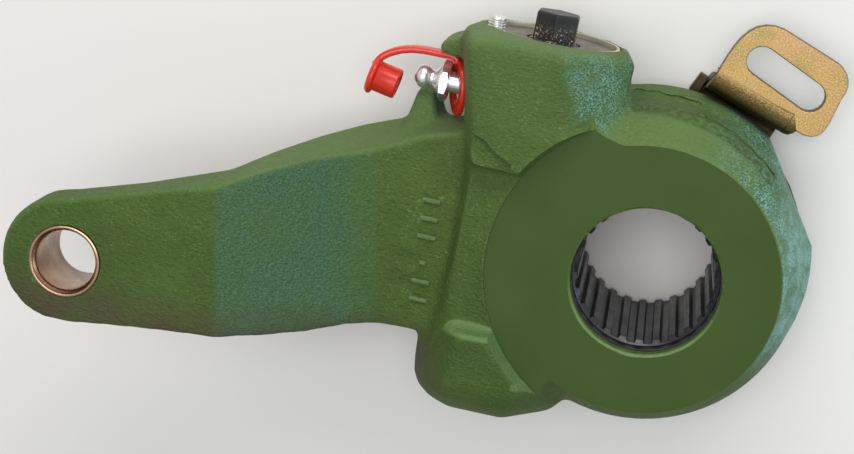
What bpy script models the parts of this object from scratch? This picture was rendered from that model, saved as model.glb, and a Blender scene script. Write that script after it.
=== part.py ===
"""Automatic brake slack adjuster, lying on its back with the hub's machined face up.

The spline's axis is the world Z axis, and Z is 0 on the plane that the adjuster lies on.
+Y points to the hexagon and end cover, and the lever arm runs out along -X.
Every size below is in millimetres, and each mesh is written in metres.
"""

import bpy
import bmesh
from math import cos, hypot, pi, radians, sin, tan
from mathutils import Matrix, Vector

MM = 0.001

# Clearances
GAP = 0.3
RUNNING = 0.25
FLANK_ANGLE = radians(20)

# Hub and machined face
FACE_Z = 50.0
CAST_BACK_Z = 8.3
FACE_MILL_R = 42.3
BACK_MILL_R = 43.8
MILL_ALLOWANCE = 0.8
HUB_SHIFT_X = -1.2

# Worm wheel
WHEEL_TEETH = 26
MODULE = 2.0
PITCH = pi * MODULE
WHEEL_PITCH_R = WHEEL_TEETH * MODULE / 2
WHEEL_TIP_R = 28.0
WHEEL_ROOT_R = 23.6
GEAR_Z = (15.0, 33.0)
JOURNAL_R = 24.0
SPIGOT_R = 22.1
WHEEL_TOP_Z = 45.6
SPLINE_TIP_R = 18.0
SPLINE_ROOT_R = 19.25
SPLINE_TOP_Z = 42.0
SPLINE_STEP = 2 * pi / WHEEL_TEETH
LIP_R = 19.7

# Worm screw
WORM_X = -37.5
WORM_Z = 24.0
WORM_PITCH_R = -WORM_X - WHEEL_PITCH_R
WORM_TIP_R = 13.5
WORM_ROOT_R = 9.2
WORM_HALF = 16.5
THREAD_TURNS = 4.5
TOOTH_THICK = 2.5
SHAFT_R = 7.0
TAIL_R = 4.0
TAIL_END_Y = -43.0
HEX_FLATS = 11.1
HEX_TOP_Y = 60.8
TURN_TO_WHEEL = radians(4)

# Chambers round the worm's axis
CHAMBER_R = 14.3
SPRING_ROOM_R = 15.0
SPRING_ROOM_Y = 22.2
SEAT_R = 18.3
SEAT_Y = 49.4
BOSS_END_Y = 55.0
COVER_R = SEAT_R - GAP
COVER_TOP_Y = BOSS_END_Y - 0.5
COVER_DISH_Y = COVER_TOP_Y - 1.4
LOCK_X = -52.8
LOCK_Z = 30.0
LOCK_R = 2.4
LOCK_ROOT_Y = COVER_TOP_Y - 2.3

# Clutch train on the worm's tail
CLUTCH_ROOM_R = 11.4
CLUTCH_ROOM_Y = -38.6
HUB_R = 7.0
PINION_TEETH = 12
PINION_MODULE = 1.25
PINION_PITCH_R = PINION_TEETH * PINION_MODULE / 2
PINION_TIP_R = 8.7
PINION_ROOT_R = 5.95
PINION_THICK = 1.5
PINION_Y = (-37.6, -30.8)

# Back cover
PLATE_Z = (4.7, 6.7)
GASKET_Z = (PLATE_Z[1] + GAP, CAST_BACK_Z - GAP)
PLATE_R = BACK_MILL_R - 1.5
SCREW_RING_R = 37.0
SCREW_ANGLES = (-48, -14, 20, 108, 134)
SCREW_R = 2.0
SCREW_TIP_Z = CAST_BACK_Z + 5.3
HEAD_R = 3.3
HEAD_Z = (PLATE_Z[0] - 2.5, PLATE_Z[0] - GAP)

# Rack and control parts
SHEET = 4.0
RING_R = 32.5
ARM_ANGLE = 71.0
NECK_R = (SPIGOT_R + GAP, SPIGOT_R + GAP + 2.6)
DISC_R = (NECK_R[1] + GAP, NECK_R[1] + 5.0)
DISC_Z = (GASKET_Z[1] + 0.7, GASKET_Z[1] + 3.9)
POCKET_R = DISC_R[1] + 1.0
POCKET_TOP_Z = DISC_Z[1] + 0.4
RACK_Y = (-37.0, -31.0)
RACK_X = (-46.0, 2.4)
RACK_FLOOR_Z = 9.3
RACK_SPRING_END_X = 12.7
TAB_HALF = 1.6
NOTCH_HALF = TAB_HALF + 0.75
NOTCH_FLOOR_R = DISC_R[0] + 0.9
TAB_END_R = NOTCH_FLOOR_R + 0.4

# Lever arm
LEVER = 150.0
LEVER_DROP = 9.0
BUSH_R = (8.0, 8.95)
BUSH_BORE_R = BUSH_R[1] + GAP
ARM_TOP_Z = 69.0
ARM_LOW_Z = 50.2
ARM_END_R = 17.2
BUSH_Z = (ARM_LOW_Z - 0.4, ARM_TOP_Z + 0.4)

# Grease nipple and cap, as distances from the spline's axis towards the nipple
NIPPLE_Y = 37.2
NIPPLE_Z = 29.0
NIPPLE_ROOT = 52.6
NIPPLE_SEAT = 57.1
NIPPLE_HEX = (62.3, 64.8)
NIPPLE_HEX_FLATS = 10.0
NIPPLE_TIP = 71.8
NECK_OF_NIPPLE_R = 2.9
CAP_RING_R = (4.6, 8.0)
CAP_RING_AT = (-59.8, 36.4, NIPPLE_Z)
CAP_RING_THICK = 1.5

GREEN = (0.10, 0.22, 0.06)
STEEL = (0.42, 0.42, 0.43)
BLACK = (0.03, 0.03, 0.035)
RUBBER = (0.02, 0.02, 0.02)
ZINC = (0.62, 0.63, 0.66)
YELLOW_ZINC = (0.62, 0.50, 0.25)
BRONZE = (0.55, 0.38, 0.22)
RED = (0.65, 0.02, 0.02)


def clear_scene():
    for old in list(bpy.data.objects):
        bpy.data.objects.remove(old, do_unlink=True)


def new_collection(name):
    made = bpy.data.collections.new(name)
    bpy.context.scene.collection.children.link(made)
    return made


clear_scene()
PARTS = new_collection("brake_slack_adjuster")
CUTTERS = new_collection("cutters")


# Placements

def along(axis, at):
    """A placement at the point `at` whose local Z runs along `axis`."""
    turn = Vector((0, 0, 1)).rotation_difference(Vector(axis)).to_matrix().to_4x4()
    return Matrix.Translation(Vector(at) * MM) @ turn


UPRIGHT = along((0, 0, 1), (0, 0, 0))
ON_WORM = along((0, 1, 0), (WORM_X, 0, WORM_Z))
ON_NIPPLE = along((-1, 0, 0), (0, NIPPLE_Y, NIPPLE_Z))
ON_LOCK = along((0, 1, 0), (LOCK_X, 0, LOCK_Z))
ON_ARM = Matrix.Rotation(radians(ARM_ANGLE), 4, "Z")
SCREW_PLACES = [
    along((0, 0, 1), (SCREW_RING_R * cos(radians(a)), SCREW_RING_R * sin(radians(a)), 0)) for a in SCREW_ANGLES
]
LEVER_TURN = radians(180 + LEVER_DROP)


def lever_point(s, t, z):
    """World point at s along the lever's line from the spline's axis and t to its upper side."""
    return (s * cos(LEVER_TURN) + t * sin(LEVER_TURN), s * sin(LEVER_TURN) - t * cos(LEVER_TURN), z)


BUSH_AT = lever_point(LEVER, 0, 0)
ON_BUSH = along((0, 0, 1), BUSH_AT)


# Outlines

def arc(x, y, radius, start, end, steps):
    """Points round a circle, from the angle start to end in degrees."""
    turns = [radians(start + (end - start) * i / steps) for i in range(steps + 1)]
    return [(x + radius * cos(a), y + radius * sin(a)) for a in turns]


def toothed(teeth, root_r, root_half, tip_r, tip_half, phase=0.0):
    """Outline of a toothed ring. The half widths are angles in radians."""
    points = []
    for k in range(teeth):
        middle = phase + 2 * pi * k / teeth
        for radius, offset in ((root_r, -root_half), (tip_r, -tip_half), (tip_r, tip_half), (root_r, root_half)):
            points.append((radius * cos(middle + offset), radius * sin(middle + offset)))
    return points


def flank_half(thick, radius, pitch_r):
    """Half the angle of a tooth at a radius, from its thickness at the pitch circle."""
    return (thick / 2 - (radius - pitch_r) * tan(FLANK_ANGLE)) / radius


def hexagon(flats, first=30.0):
    return arc(0, 0, flats / 2 / cos(radians(30)), first, first + 300, 5)


# Solids

def mesh_object(name, mesh, where, collection):
    made = bpy.data.objects.new(name, mesh)
    made.matrix_world = where
    collection.objects.link(made)
    if collection is CUTTERS:
        made.hide_render = True
        made.display_type = "WIRE"
    return made


def loft(name, rings, where=UPRIGHT, collection=CUTTERS):
    """A skin through rings of points, each with as many points, capped at both ends."""
    shell = bmesh.new()
    made = [[shell.verts.new(Vector(p) * MM) for p in ring] for ring in rings]
    for low, high in zip(made, made[1:]):
        for i in range(len(low)):
            j = (i + 1) % len(low)
            shell.faces.new((low[i], low[j], high[j], high[i]))
    shell.faces.new(made[0])
    shell.faces.new(made[-1])
    bmesh.ops.recalc_face_normals(shell, faces=shell.faces)
    mesh = bpy.data.meshes.new(name)
    shell.to_mesh(mesh)
    shell.free()
    return mesh_object(name, mesh, where, collection)


def prism(name, outline, low, high, where=UPRIGHT, collection=CUTTERS):
    return loft(name, [[(x, y, h) for x, y in outline] for h in (low, high)], where, collection)


def block(name, low, high, collection=CUTTERS):
    """An upright box between two opposite corners."""
    outline = [(low[0], low[1]), (high[0], low[1]), (high[0], high[1]), (low[0], high[1])]
    return prism(name, outline, low[2], high[2], UPRIGHT, collection)


def turned(name, profile, where=UPRIGHT, steps=48, collection=CUTTERS):
    """A profile of (radius, height) points, outer side top to bottom, turned round the local Z axis.

    A profile that begins and ends on the axis makes a solid, and any other closes on itself to make a ring."""
    ring = profile[0][0] > 0 or profile[-1][0] > 0
    mesh = bpy.data.meshes.new(name)
    edges = [(i, i + 1) for i in range(len(profile) - 1)]
    if ring:
        edges.append((len(profile) - 1, 0))
    mesh.from_pydata([(r * MM, 0, h * MM) for r, h in profile], edges, [])
    made = mesh_object(name, mesh, where, collection)
    screw = made.modifiers.new("turn", "SCREW")
    screw.axis = "Z"
    screw.angle = 2 * pi
    screw.steps = steps
    screw.render_steps = steps
    screw.use_merge_vertices = True
    screw.merge_threshold = 0.00001
    return made


def cylinder(name, radius, low, high, where=UPRIGHT, steps=48, collection=CUTTERS):
    return turned(name, [(0, high), (radius, high), (radius, low), (0, low)], where, steps, collection)


def torus(name, radius, section, height, where, collection, steps=48, sides=10):
    ring = arc(radius, height, section, 90, -270 + 360 / sides, sides - 1)
    return turned(name, ring, where, steps, collection)


def coil(name, radius, wire_r, low, high, turns, where, steps=18, dead=1.0):
    """A round-wire coil with closed end turns, round the local Z axis."""
    count = int(turns * steps)
    path = bpy.data.curves.new(name, "CURVE")
    path.dimensions = "3D"
    path.bevel_depth = wire_r * MM
    path.bevel_resolution = 2
    path.use_fill_caps = True
    line = path.splines.new("POLY")
    line.points.add(count)
    closed_rise = (2 * wire_r + 0.15) / steps
    free = count - 2 * dead * steps
    rise = (high - low - 2 * wire_r - 2 * dead * steps * closed_rise) / free
    height = low + wire_r
    for i in range(count + 1):
        turn = 2 * pi * i / steps
        line.points[i].co = (radius * cos(turn) * MM, radius * sin(turn) * MM, height * MM, 1)
        height += closed_rise if i < dead * steps or i >= count - dead * steps else rise
    made = bpy.data.objects.new(name, path)
    made.matrix_world = where
    PARTS.objects.link(made)
    return made


def combine(target, tool, operation):
    step = target.modifiers.new(f"{operation.lower()}_{tool.name}", "BOOLEAN")
    step.operation = operation
    step.solver = "EXACT"
    step.object = tool


def cut(target, *tools):
    for tool in tools:
        combine(target, tool, "DIFFERENCE")


def join(target, *tools):
    for tool in tools:
        combine(target, tool, "UNION")


def soften(target, width, segments=2, angle=30):
    step = target.modifiers.new("soft_edges", "BEVEL")
    step.width = width * MM
    step.segments = segments
    step.limit_method = "ANGLE"
    step.angle_limit = radians(angle)
    step.use_clamp_overlap = True


def finish(made, colour, metallic, roughness):
    """The object's own material."""
    paint = bpy.data.materials.new(made.name)
    paint.use_nodes = True
    shader = paint.node_tree.nodes["Principled BSDF"]
    shader.inputs["Base Color"].default_value = (*colour, 1)
    shader.inputs["Metallic"].default_value = metallic
    shader.inputs["Roughness"].default_value = roughness
    made.data.materials.clear()
    made.data.materials.append(paint)
    return made


# Housing casting with its lever arm

SHELF_Z = FACE_Z + 0.5
BOSS_TOP_Z = FACE_Z + 7.0


def boss_ring(y, left, side_z, shoulder, front, crease, right, foot=0.6):
    """One section of the worm boss across its axis, from its left side over the front to its right side."""
    return [
        (left + 3.5, y, foot),
        (left, y, foot + 5),
        (left, y, side_z),
        *[(x, y, z) for x, z in (shoulder, front, crease, right)],
        (right[0], y, foot),
    ]


def round_ring(y, back_r, left, front_x, front_z, crease_x, crease_z, right, right_z, lean=0.0):
    """One section of the boss, round the worm's axis at the back, with its front leaning along the boss."""
    ring = [(x, y, z) for x, z in arc(WORM_X, WORM_Z, back_r, 190, 350, 5)]
    ring += [(right, y, right_z), (crease_x, y + lean, crease_z), (front_x, y + lean, front_z)]
    return ring + [(left, y, front_z * 0.7)]


boss_base = loft("boss_base", [
    boss_ring(-43, -53.0, 38, (-49.0, 42.5), (-46, 44), (-30, 44), (-22, 36)),
    boss_ring(-34, -56.2, 39, (-51.4, 47.6), (-48.0, SHELF_Z), (-24, SHELF_Z), (-12, 42)),
    boss_ring(-22, -55.6, 39, (-51.2, 47.6), (-48.0, SHELF_Z), (-20, SHELF_Z), (-8, 48)),
    boss_ring(3, -52.4, 36, (-51.2, 46.5), (-49.6, SHELF_Z), (-20, SHELF_Z), (-8, 48)),
    boss_ring(21, -53.8, 36, (-52.0, 46.5), (-50.0, SHELF_Z), (-20, SHELF_Z), (-8, 48)),
    boss_ring(34, -56.0, 36, (-54.3, 46.5), (-52.0, SHELF_Z), (-24, SHELF_Z), (-11.5, 41)),
    boss_ring(46, -57.6, 36, (-55.6, 46.5), (-53.0, SHELF_Z), (-30, 46), (-17, 36), 3.0),
])

boss_upper = loft("boss_upper", [
    round_ring(20.4, 16.5, -54.2, -49.8, BOSS_TOP_Z, -20, 54, -8, FACE_Z, 1.5),
    round_ring(33.6, 18.4, -56.2, -52.4, BOSS_TOP_Z, -22.8, 54, -10.5, FACE_Z),
    round_ring(36.7, 18.9, -56.7, -53.0, BOSS_TOP_Z, -24.2, 52.6, -12.8, 41.0),
    round_ring(46, 20.8, -59.0, -55.2, BOSS_TOP_Z, -28.6, 53.4, -13.8, 39),
    round_ring(52.6, 21.2, -60.6, -57.0, BOSS_TOP_Z, -31.6, 53.8, -14.6, 38),
    round_ring(BOSS_END_Y, 19.9, -59.5, -55.8, BOSS_TOP_Z - 2, -33.0, 52.2, -16.2, 37),
])
soften(boss_upper, 1.4)

boss_lower = loft("boss_lower", [
    boss_ring(-48.7, -44.0, 37.5, (-42.8, 39.2), (-41.5, 40), (-33, 40), (-27, 31), 8),
    boss_ring(-47.0, -50.0, 39, (-47.6, 43.0), (-44.0, 46), (-29.5, 45.5), (-19.8, 34), 4),
    boss_ring(-44.6, -53.8, 40, (-50.4, 46.4), (-45.4, 51), (-28, 50.5), (-16.5, 36)),
    boss_ring(-41.5, -55.5, 40, (-51.6, 48.6), (-45.6, 55), (-27, 54), (-14.5, 38)),
    boss_ring(-37, -56.2, 40, (-51.8, 49.8), (-45.6, BOSS_TOP_Z), (-26.3, 56), (-13.5, 39)),
    boss_ring(-30, -56.5, 40, (-51.6, 49.8), (-45.0, BOSS_TOP_Z), (-25.5, 56.5), (-13.0, 42)),
    boss_ring(-22.5, -55.6, 39, (-51.0, 48.2), (-44.6, BOSS_TOP_Z), (-24, 56.5), (-14, 46)),
])
soften(boss_lower, 1.4)

hub_blank = turned("hub_blank", [
    (0, FACE_Z + MILL_ALLOWANCE),
    (34.6, FACE_Z + MILL_ALLOWANCE),
    (36.4, 49.2),
    (39.4, 44),
    (41.6, 38.5),
    (42.7, 33),
    (43.2, 26),
    (43.4, 20.5),
    (45.4, 19.8),
    (46.1, 10.5),
    (45.4, CAST_BACK_Z),
    (0, CAST_BACK_Z),
], Matrix.Translation((HUB_SHIFT_X * MM, 0, 0)), 60)


def arm_ring(s, upper_top, upper_mid, lower_top, lower_mid, top, mid, low):
    """One section of the lever arm across its line, drafted both ways from its parting line."""
    return [
        lever_point(s, lower_top, top),
        lever_point(s, upper_top, top),
        lever_point(s, upper_mid, mid),
        lever_point(s, upper_mid - 2.5, low),
        lever_point(s, lower_mid + 2.5, low),
        lever_point(s, lower_mid, mid),
    ]


arm_rings = [
    arm_ring(44, 34, 37, -22, -24, 44, 25, 9),
    arm_ring(54, 35.2, 36.6, -21.5, -22.6, 44, 25, 10),
    arm_ring(61, 34, 36.2, -19.6, -21, 44, 25, 11),
    arm_ring(71, 30.4, 34.9, -18.2, -19.6, 44.4, 26, 13.5),
    arm_ring(79, 29, 33.4, -18.4, -19.8, 47, 29, 17),
    arm_ring(89, 28, 31, -19.2, -20.3, 54, 36, 23.5),
    arm_ring(100, 25.8, 27.4, -18.8, -19.6, 62.3, 43, 31.5),
    arm_ring(109.8, 22.5, 23.6, -18, -18.8, ARM_TOP_Z, 52, 41),
    arm_ring(120, 21.3, 22.2, -17.3, -18, ARM_TOP_Z, 57, 48.4),
    arm_ring(130, 19.7, 20.4, -16.9, -17.6, ARM_TOP_Z, 59.5, ARM_LOW_Z),
    arm_ring(140, 18.2, 18.8, -16.7, -17.3, ARM_TOP_Z, 59.5, ARM_LOW_Z),
]
for turn in (0, 22, 42, 60, 74, 84):
    reach = LEVER + ARM_END_R * sin(radians(turn))
    half = ARM_END_R * cos(radians(turn))
    trim = 0.5 * cos(radians(turn))
    arm_rings.append(arm_ring(reach, half - trim, half, trim - half, -half, ARM_TOP_Z, 59.5, ARM_LOW_Z))
# The last sections are narrower than the arm's lower chamfer, so their undersides are drawn in less.
for ring in arm_rings[-3:]:
    centre = (Vector(ring[0]) + Vector(ring[1])) / 2
    for i in (3, 4):
        side = Vector(ring[2 if i == 3 else 5])
        ring[i] = (centre.x + (side.x - centre.x) * 0.7, centre.y + (side.y - centre.y) * 0.7, ARM_LOW_Z)
lever_arm = loft("lever_arm", arm_rings)
soften(lever_arm, 1.6)

nipple_boss = cylinder("nipple_boss", 6.6, NIPPLE_ROOT - 2.6, NIPPLE_SEAT, ON_NIPPLE, 24)


def guard_ring(axis, at, low, high, back, front):
    """One section of a guard, across X at x = at or across Y at y = at."""
    corners = [(low, back), (high, back), (high, front), (low, front)]
    return [(at, side, z) if axis == "X" else (side, at, z) for side, z in corners]


upper_guard = loft("upper_guard", [
    guard_ring("X", -66.2, 45.9, 47.4, 20, 34),
    guard_ring("X", -65.3, 45.2, 48.6, 18.5, 36),
    guard_ring("X", -62.4, 45.2, 50.2, 18, 37),
    guard_ring("X", -56.0, 45.2, 52.0, 17, 38),
])
soften(upper_guard, 1.2)
lower_guard = loft("lower_guard", [
    guard_ring("Y", 22.0, -73.0, -61.5, 12, 36),
    guard_ring("Y", 26.6, -71.4, -63.2, 13, 33),
    guard_ring("Y", 33.4, -70.6, -66.2, 15, 27),
])
soften(lower_guard, 1.0)

housing = cylinder("housing", 30, CAST_BACK_Z + 2, FACE_Z - 1, UPRIGHT, 32, PARTS)
join(housing, hub_blank, boss_base, boss_upper, boss_lower, lever_arm, nipple_boss, upper_guard, lower_guard)

# Raised foundry pips and bars on the front of the arm's root
ROOT_Z = 44.0
MARK_HIGH = 0.9
for number, (s, t, length) in enumerate(((64, 4, 5.5), (64, -3, 5.5), (64, -10, 2.4))):
    x, y, _ = lever_point(s, t, 0)
    low, high = (x - length / 2, y - 1.2, ROOT_Z - 1), (x + length / 2, y + 1.2, ROOT_Z + MARK_HIGH)
    join(housing, block(f"foundry_mark_{number}", low, high))

# The machined face lies in a round pocket with drafted walls.
MILL_WALL = (
    (FACE_Z, FACE_MILL_R - 0.1, 0.1), (BOSS_TOP_Z, FACE_MILL_R + 1.6, 0.85), (FACE_Z + 9, FACE_MILL_R + 2.0, 1.0),
)
face_mill = loft("face_mill", [
    [(x, y, z) for x, y in arc(0, shift, radius, 0, 355, 71)] for z, radius, shift in MILL_WALL
])
corner_step = prism("corner_step", [
    (-64, 30.1), (-50.7, 30.0), (-48, 29.3), (-46.1, 27.7), (-44.2, 26.4), (-40, 24.2), (-40, 18), (-64, 18),
], BOSS_TOP_Z - 0.7, BOSS_TOP_Z + 2)

cut(
    housing,
    face_mill,
    corner_step,
    cylinder("back_mill", BACK_MILL_R, -2, CAST_BACK_Z, UPRIGHT, 48),
    cylinder("disc_pocket", POCKET_R, CAST_BACK_Z - 1, POCKET_TOP_Z, UPRIGHT, 32),
    cylinder("wheel_room", WHEEL_TIP_R + 1.5, POCKET_TOP_Z - 0.3, GEAR_Z[1] + 3, UPRIGHT, 32),
    cylinder("journal_bore", JOURNAL_R + RUNNING, GEAR_Z[1] + 2, WHEEL_TOP_Z + GAP, UPRIGHT, 36),
    turned("front_lip", [
        (0, FACE_Z + 2),
        (LIP_R + 3.3, FACE_Z + 2),
        (LIP_R, FACE_Z - 1.3),
        (LIP_R, WHEEL_TOP_Z - 1.6),
        (0, WHEEL_TOP_Z - 1.6),
    ], UPRIGHT, 48),
    turned("worm_bore", [
        (0, BOSS_END_Y + 3),
        (SEAT_R + 1.9, BOSS_END_Y + 3),
        (SEAT_R, BOSS_END_Y - 0.9),
        (SEAT_R, SEAT_Y),
        (SPRING_ROOM_R, SEAT_Y),
        (SPRING_ROOM_R, SPRING_ROOM_Y),
        (CHAMBER_R, SPRING_ROOM_Y),
        (CHAMBER_R, -WORM_HALF - 3.5),
        (CLUTCH_ROOM_R, -WORM_HALF - 3.5),
        (CLUTCH_ROOM_R, CLUTCH_ROOM_Y),
        (HUB_R + GAP, CLUTCH_ROOM_Y),
        (HUB_R + GAP, TAIL_END_Y - 1.2),
        (0, TAIL_END_Y - 1.2),
    ], ON_WORM, 32),
    block(
        "rack_channel",
        (RACK_X[0] - 5.6, RACK_Y[0] - 0.6, RACK_FLOOR_Z - 0.4),
        (RACK_SPRING_END_X + GAP, RACK_Y[1] + 0.6, RACK_FLOOR_Z + 8.7),
    ),
    block(
        "rack_mouth",
        (-20, RACK_Y[0] - 0.6, CAST_BACK_Z - 1),
        (RACK_SPRING_END_X + GAP, RACK_Y[1] + 0.6, RACK_FLOOR_Z),
    ),
    block("tab_window", (-8, RACK_Y[1] - 2, CAST_BACK_Z - 1), (8, -NOTCH_FLOOR_R, POCKET_TOP_Z)),
    cylinder("lock_hole", LOCK_R + GAP, LOCK_ROOT_Y - GAP, BOSS_END_Y + 5, ON_LOCK, 18),
    cylinder("nipple_hole", NECK_OF_NIPPLE_R + GAP, NIPPLE_ROOT - 8, NIPPLE_SEAT + 6, ON_NIPPLE, 16),
    cylinder("bush_bore", BUSH_BORE_R, ARM_LOW_Z - 5, ARM_TOP_Z + 5, ON_BUSH, 48),
)
for number, place in enumerate(SCREW_PLACES):
    cut(housing, cylinder(f"screw_hole_{number}", SCREW_R + GAP, CAST_BACK_Z - 1, SCREW_TIP_Z + 0.4, place, 12))
finish(housing, GREEN, 0.0, 0.55)


# Lever bush, wrapped from strip with an open seam

lever_bush = turned("lever_bush", [
    (BUSH_R[0] + 0.4, BUSH_Z[1]),
    (BUSH_R[1] - 0.2, BUSH_Z[1]),
    (BUSH_R[1], BUSH_Z[1] - 0.3),
    (BUSH_R[1], BUSH_Z[0] + 0.4),
    (BUSH_R[1] - 0.4, BUSH_Z[0]),
    (BUSH_R[0], BUSH_Z[0]),
    (BUSH_R[0], BUSH_Z[1] - 0.5),
], ON_BUSH, 40, PARTS)
SEAM_HALF = 0.15
seam_x = BUSH_AT[0] - BUSH_R[0]
cut(lever_bush, block(
    "bush_seam",
    (seam_x - 3, BUSH_AT[1] - SEAM_HALF, BUSH_Z[0] - 1),
    (seam_x + 3, BUSH_AT[1] + SEAM_HALF, BUSH_Z[1] + 1),
))
finish(lever_bush, BRONZE, 0.9, 0.3)


# Worm wheel with its internal spline

worm_wheel = turned("worm_wheel", [
    (0, WHEEL_TOP_Z),
    (JOURNAL_R - 0.8, WHEEL_TOP_Z),
    (JOURNAL_R, WHEEL_TOP_Z - 0.8),
    (JOURNAL_R, 40.6),
    (JOURNAL_R - 1.4, 40.6),
    (JOURNAL_R - 1.4, 38.6),
    (JOURNAL_R, 38.6),
    (JOURNAL_R, GEAR_Z[1] + 0.6),
    (WHEEL_ROOT_R - 0.4, GEAR_Z[1]),
    (WHEEL_ROOT_R - 0.4, GEAR_Z[0]),
    (JOURNAL_R, GEAR_Z[0] - 0.6),
    (JOURNAL_R, DISC_Z[1] + 0.7),
    (SPIGOT_R, DISC_Z[1] + 0.7),
    (SPIGOT_R, 5.0),
    (SPIGOT_R - 1.3, 5.0),
    (SPIGOT_R - 1.3, 3.2),
    (SPIGOT_R, 3.2),
    (SPIGOT_R, 1.6),
    (SPIGOT_R - 0.6, 1.0),
    (0, 1.0),
], UPRIGHT, 36, PARTS)

TWIST = PITCH / (2 * pi) / WORM_PITCH_R / WHEEL_PITCH_R
gear_rings = []
for level in range(3):
    height = GEAR_Z[0] + (GEAR_Z[1] - GEAR_Z[0]) * level / 2
    outline = toothed(
        WHEEL_TEETH,
        WHEEL_ROOT_R,
        flank_half(TOOTH_THICK, WHEEL_ROOT_R, WHEEL_PITCH_R),
        WHEEL_TIP_R,
        flank_half(TOOTH_THICK, WHEEL_TIP_R, WHEEL_PITCH_R),
        TWIST * (height - WORM_Z),
    )
    gear_rings.append([(x, y, height) for x, y in outline])
join(worm_wheel, loft("wheel_teeth", gear_rings))

cut(
    worm_wheel,
    prism("spline_room", toothed(
        WHEEL_TEETH, SPLINE_TIP_R, SPLINE_STEP * 0.29, SPLINE_ROOT_R, SPLINE_STEP * 0.2, SPLINE_STEP / 2,
    ), 0, SPLINE_TOP_Z),
    turned("front_counterbore", [
        (0, WHEEL_TOP_Z + 1), (SPLINE_ROOT_R + 0.25, WHEEL_TOP_Z + 1), (SPLINE_ROOT_R + 0.25, SPLINE_TOP_Z + 0.5),
        (SPLINE_TIP_R - 0.4, SPLINE_TOP_Z - 1.0), (0, SPLINE_TOP_Z - 1.0),
    ], UPRIGHT, 52),
    turned("rear_chamfer", [
        (0, 2.4), (SPLINE_TIP_R - 0.3, 2.4), (SPLINE_ROOT_R + 0.6, 0.5), (0, 0.5),
    ], UPRIGHT, 52),
)
finish(worm_wheel, BLACK, 0.7, 0.4)

front_o_ring = torus("front_o_ring", JOURNAL_R - 0.6, 0.72, 39.6, UPRIGHT, PARTS, 32, 6)
finish(front_o_ring, RUBBER, 0.0, 0.6)
rear_o_ring = torus("rear_o_ring", SPIGOT_R - 0.46, 0.64, 4.1, UPRIGHT, PARTS, 32, 6)
finish(rear_o_ring, RUBBER, 0.0, 0.6)


# Worm screw with its shaft, tail and hexagon

worm_screw = turned("worm_screw", [
    (0, COVER_DISH_Y),
    (SHAFT_R - 0.5, COVER_DISH_Y),
    (SHAFT_R, COVER_DISH_Y - 0.5),
    (SHAFT_R, WORM_HALF),
    (WORM_ROOT_R, WORM_HALF),
    (WORM_ROOT_R, -WORM_HALF),
    (TAIL_R, -WORM_HALF),
    (TAIL_R, TAIL_END_Y + 0.6),
    (TAIL_R - 0.6, TAIL_END_Y),
    (0, TAIL_END_Y),
], ON_WORM @ Matrix.Rotation(TURN_TO_WHEEL, 4, "Z"), 28, PARTS)

THREAD_STEPS = 20
thread_rings = []
thread_foot_r = WORM_ROOT_R - 0.4
for i in range(int(THREAD_TURNS * THREAD_STEPS) + 1):
    turn = 2 * pi * i / THREAD_STEPS
    travel = PITCH * (i / THREAD_STEPS - THREAD_TURNS / 2)
    # The thread lies half a pitch off the wheel's tooth where the two meet.
    angle = turn - 2 * pi * (THREAD_TURNS / 2 + 0.5)
    section = []
    for radius in (thread_foot_r, WORM_TIP_R):
        half = TOOTH_THICK / 2 - (radius - WORM_PITCH_R) * tan(FLANK_ANGLE)
        section.append((radius, half))
    (foot_r, foot_half), (tip_r, tip_half) = section
    corners = ((foot_r, -foot_half), (tip_r, -tip_half), (tip_r, tip_half), (foot_r, foot_half))
    thread_rings.append([(r * cos(angle), r * sin(angle), travel + offset) for r, offset in corners])
hex_rings = []
for height, flats in (
    (COVER_DISH_Y - 2, HEX_FLATS), (HEX_TOP_Y - 0.5, HEX_FLATS), (HEX_TOP_Y, HEX_FLATS - 1.0),
):
    hex_rings.append([(x, y, height) for x, y in hexagon(flats)])
join(
    worm_screw,
    loft("worm_thread", thread_rings, ON_WORM),
    loft("worm_hexagon", hex_rings, ON_WORM),
)
finish(worm_screw, BLACK, 0.7, 0.45)


# Main spring and thrust bearing

RACE_R = (SHAFT_R + 0.4, 13.4)


def washer(name, inner, outer, low, high, where, steps=32, collection=PARTS):
    return turned(name, [
        (outer - 0.2, high), (outer, high - 0.2), (outer, low + 0.2), (outer - 0.2, low), (inner, low), (inner, high),
    ], where, steps, collection)


RACE = 1.2
BALL_R = 1.3
inner_race_y = (WORM_HALF + GAP, WORM_HALF + GAP + RACE)
ball_y = inner_race_y[1] + GAP + BALL_R
outer_race_y = (ball_y + BALL_R + GAP, ball_y + BALL_R + GAP + RACE)
inner_race = washer("inner_thrust_race", *RACE_R, *inner_race_y, ON_WORM)
outer_race = washer("outer_thrust_race", *RACE_R, *outer_race_y, ON_WORM)
thrust_cage = washer("thrust_cage", 8.6, 12.6, ball_y - 0.6, ball_y + 0.6, ON_WORM, 30)
BALLS = 9
for number in range(BALLS):
    angle = 2 * pi * (number + 0.5) / BALLS
    spot = ON_WORM @ Matrix.Translation(Vector((10.6 * cos(angle), 10.6 * sin(angle), ball_y)) * MM)
    ring = arc(0, 0, BALL_R, 90, -90, 5)
    join(thrust_cage, turned(f"thrust_ball_{number}", [(0, ring[0][1]), *ring[1:-1], (0, ring[-1][1])], spot, 8))
for race in (inner_race, outer_race, thrust_cage):
    finish(race, STEEL, 1.0, 0.25)

main_spring = coil("main_spring", 11.6, 1.9, outer_race_y[1] + GAP, SEAT_Y - 0.1, 5.5, ON_WORM, 12)
finish(main_spring, STEEL, 1.0, 0.35)


# End cover, its seals and its lock screw

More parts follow.
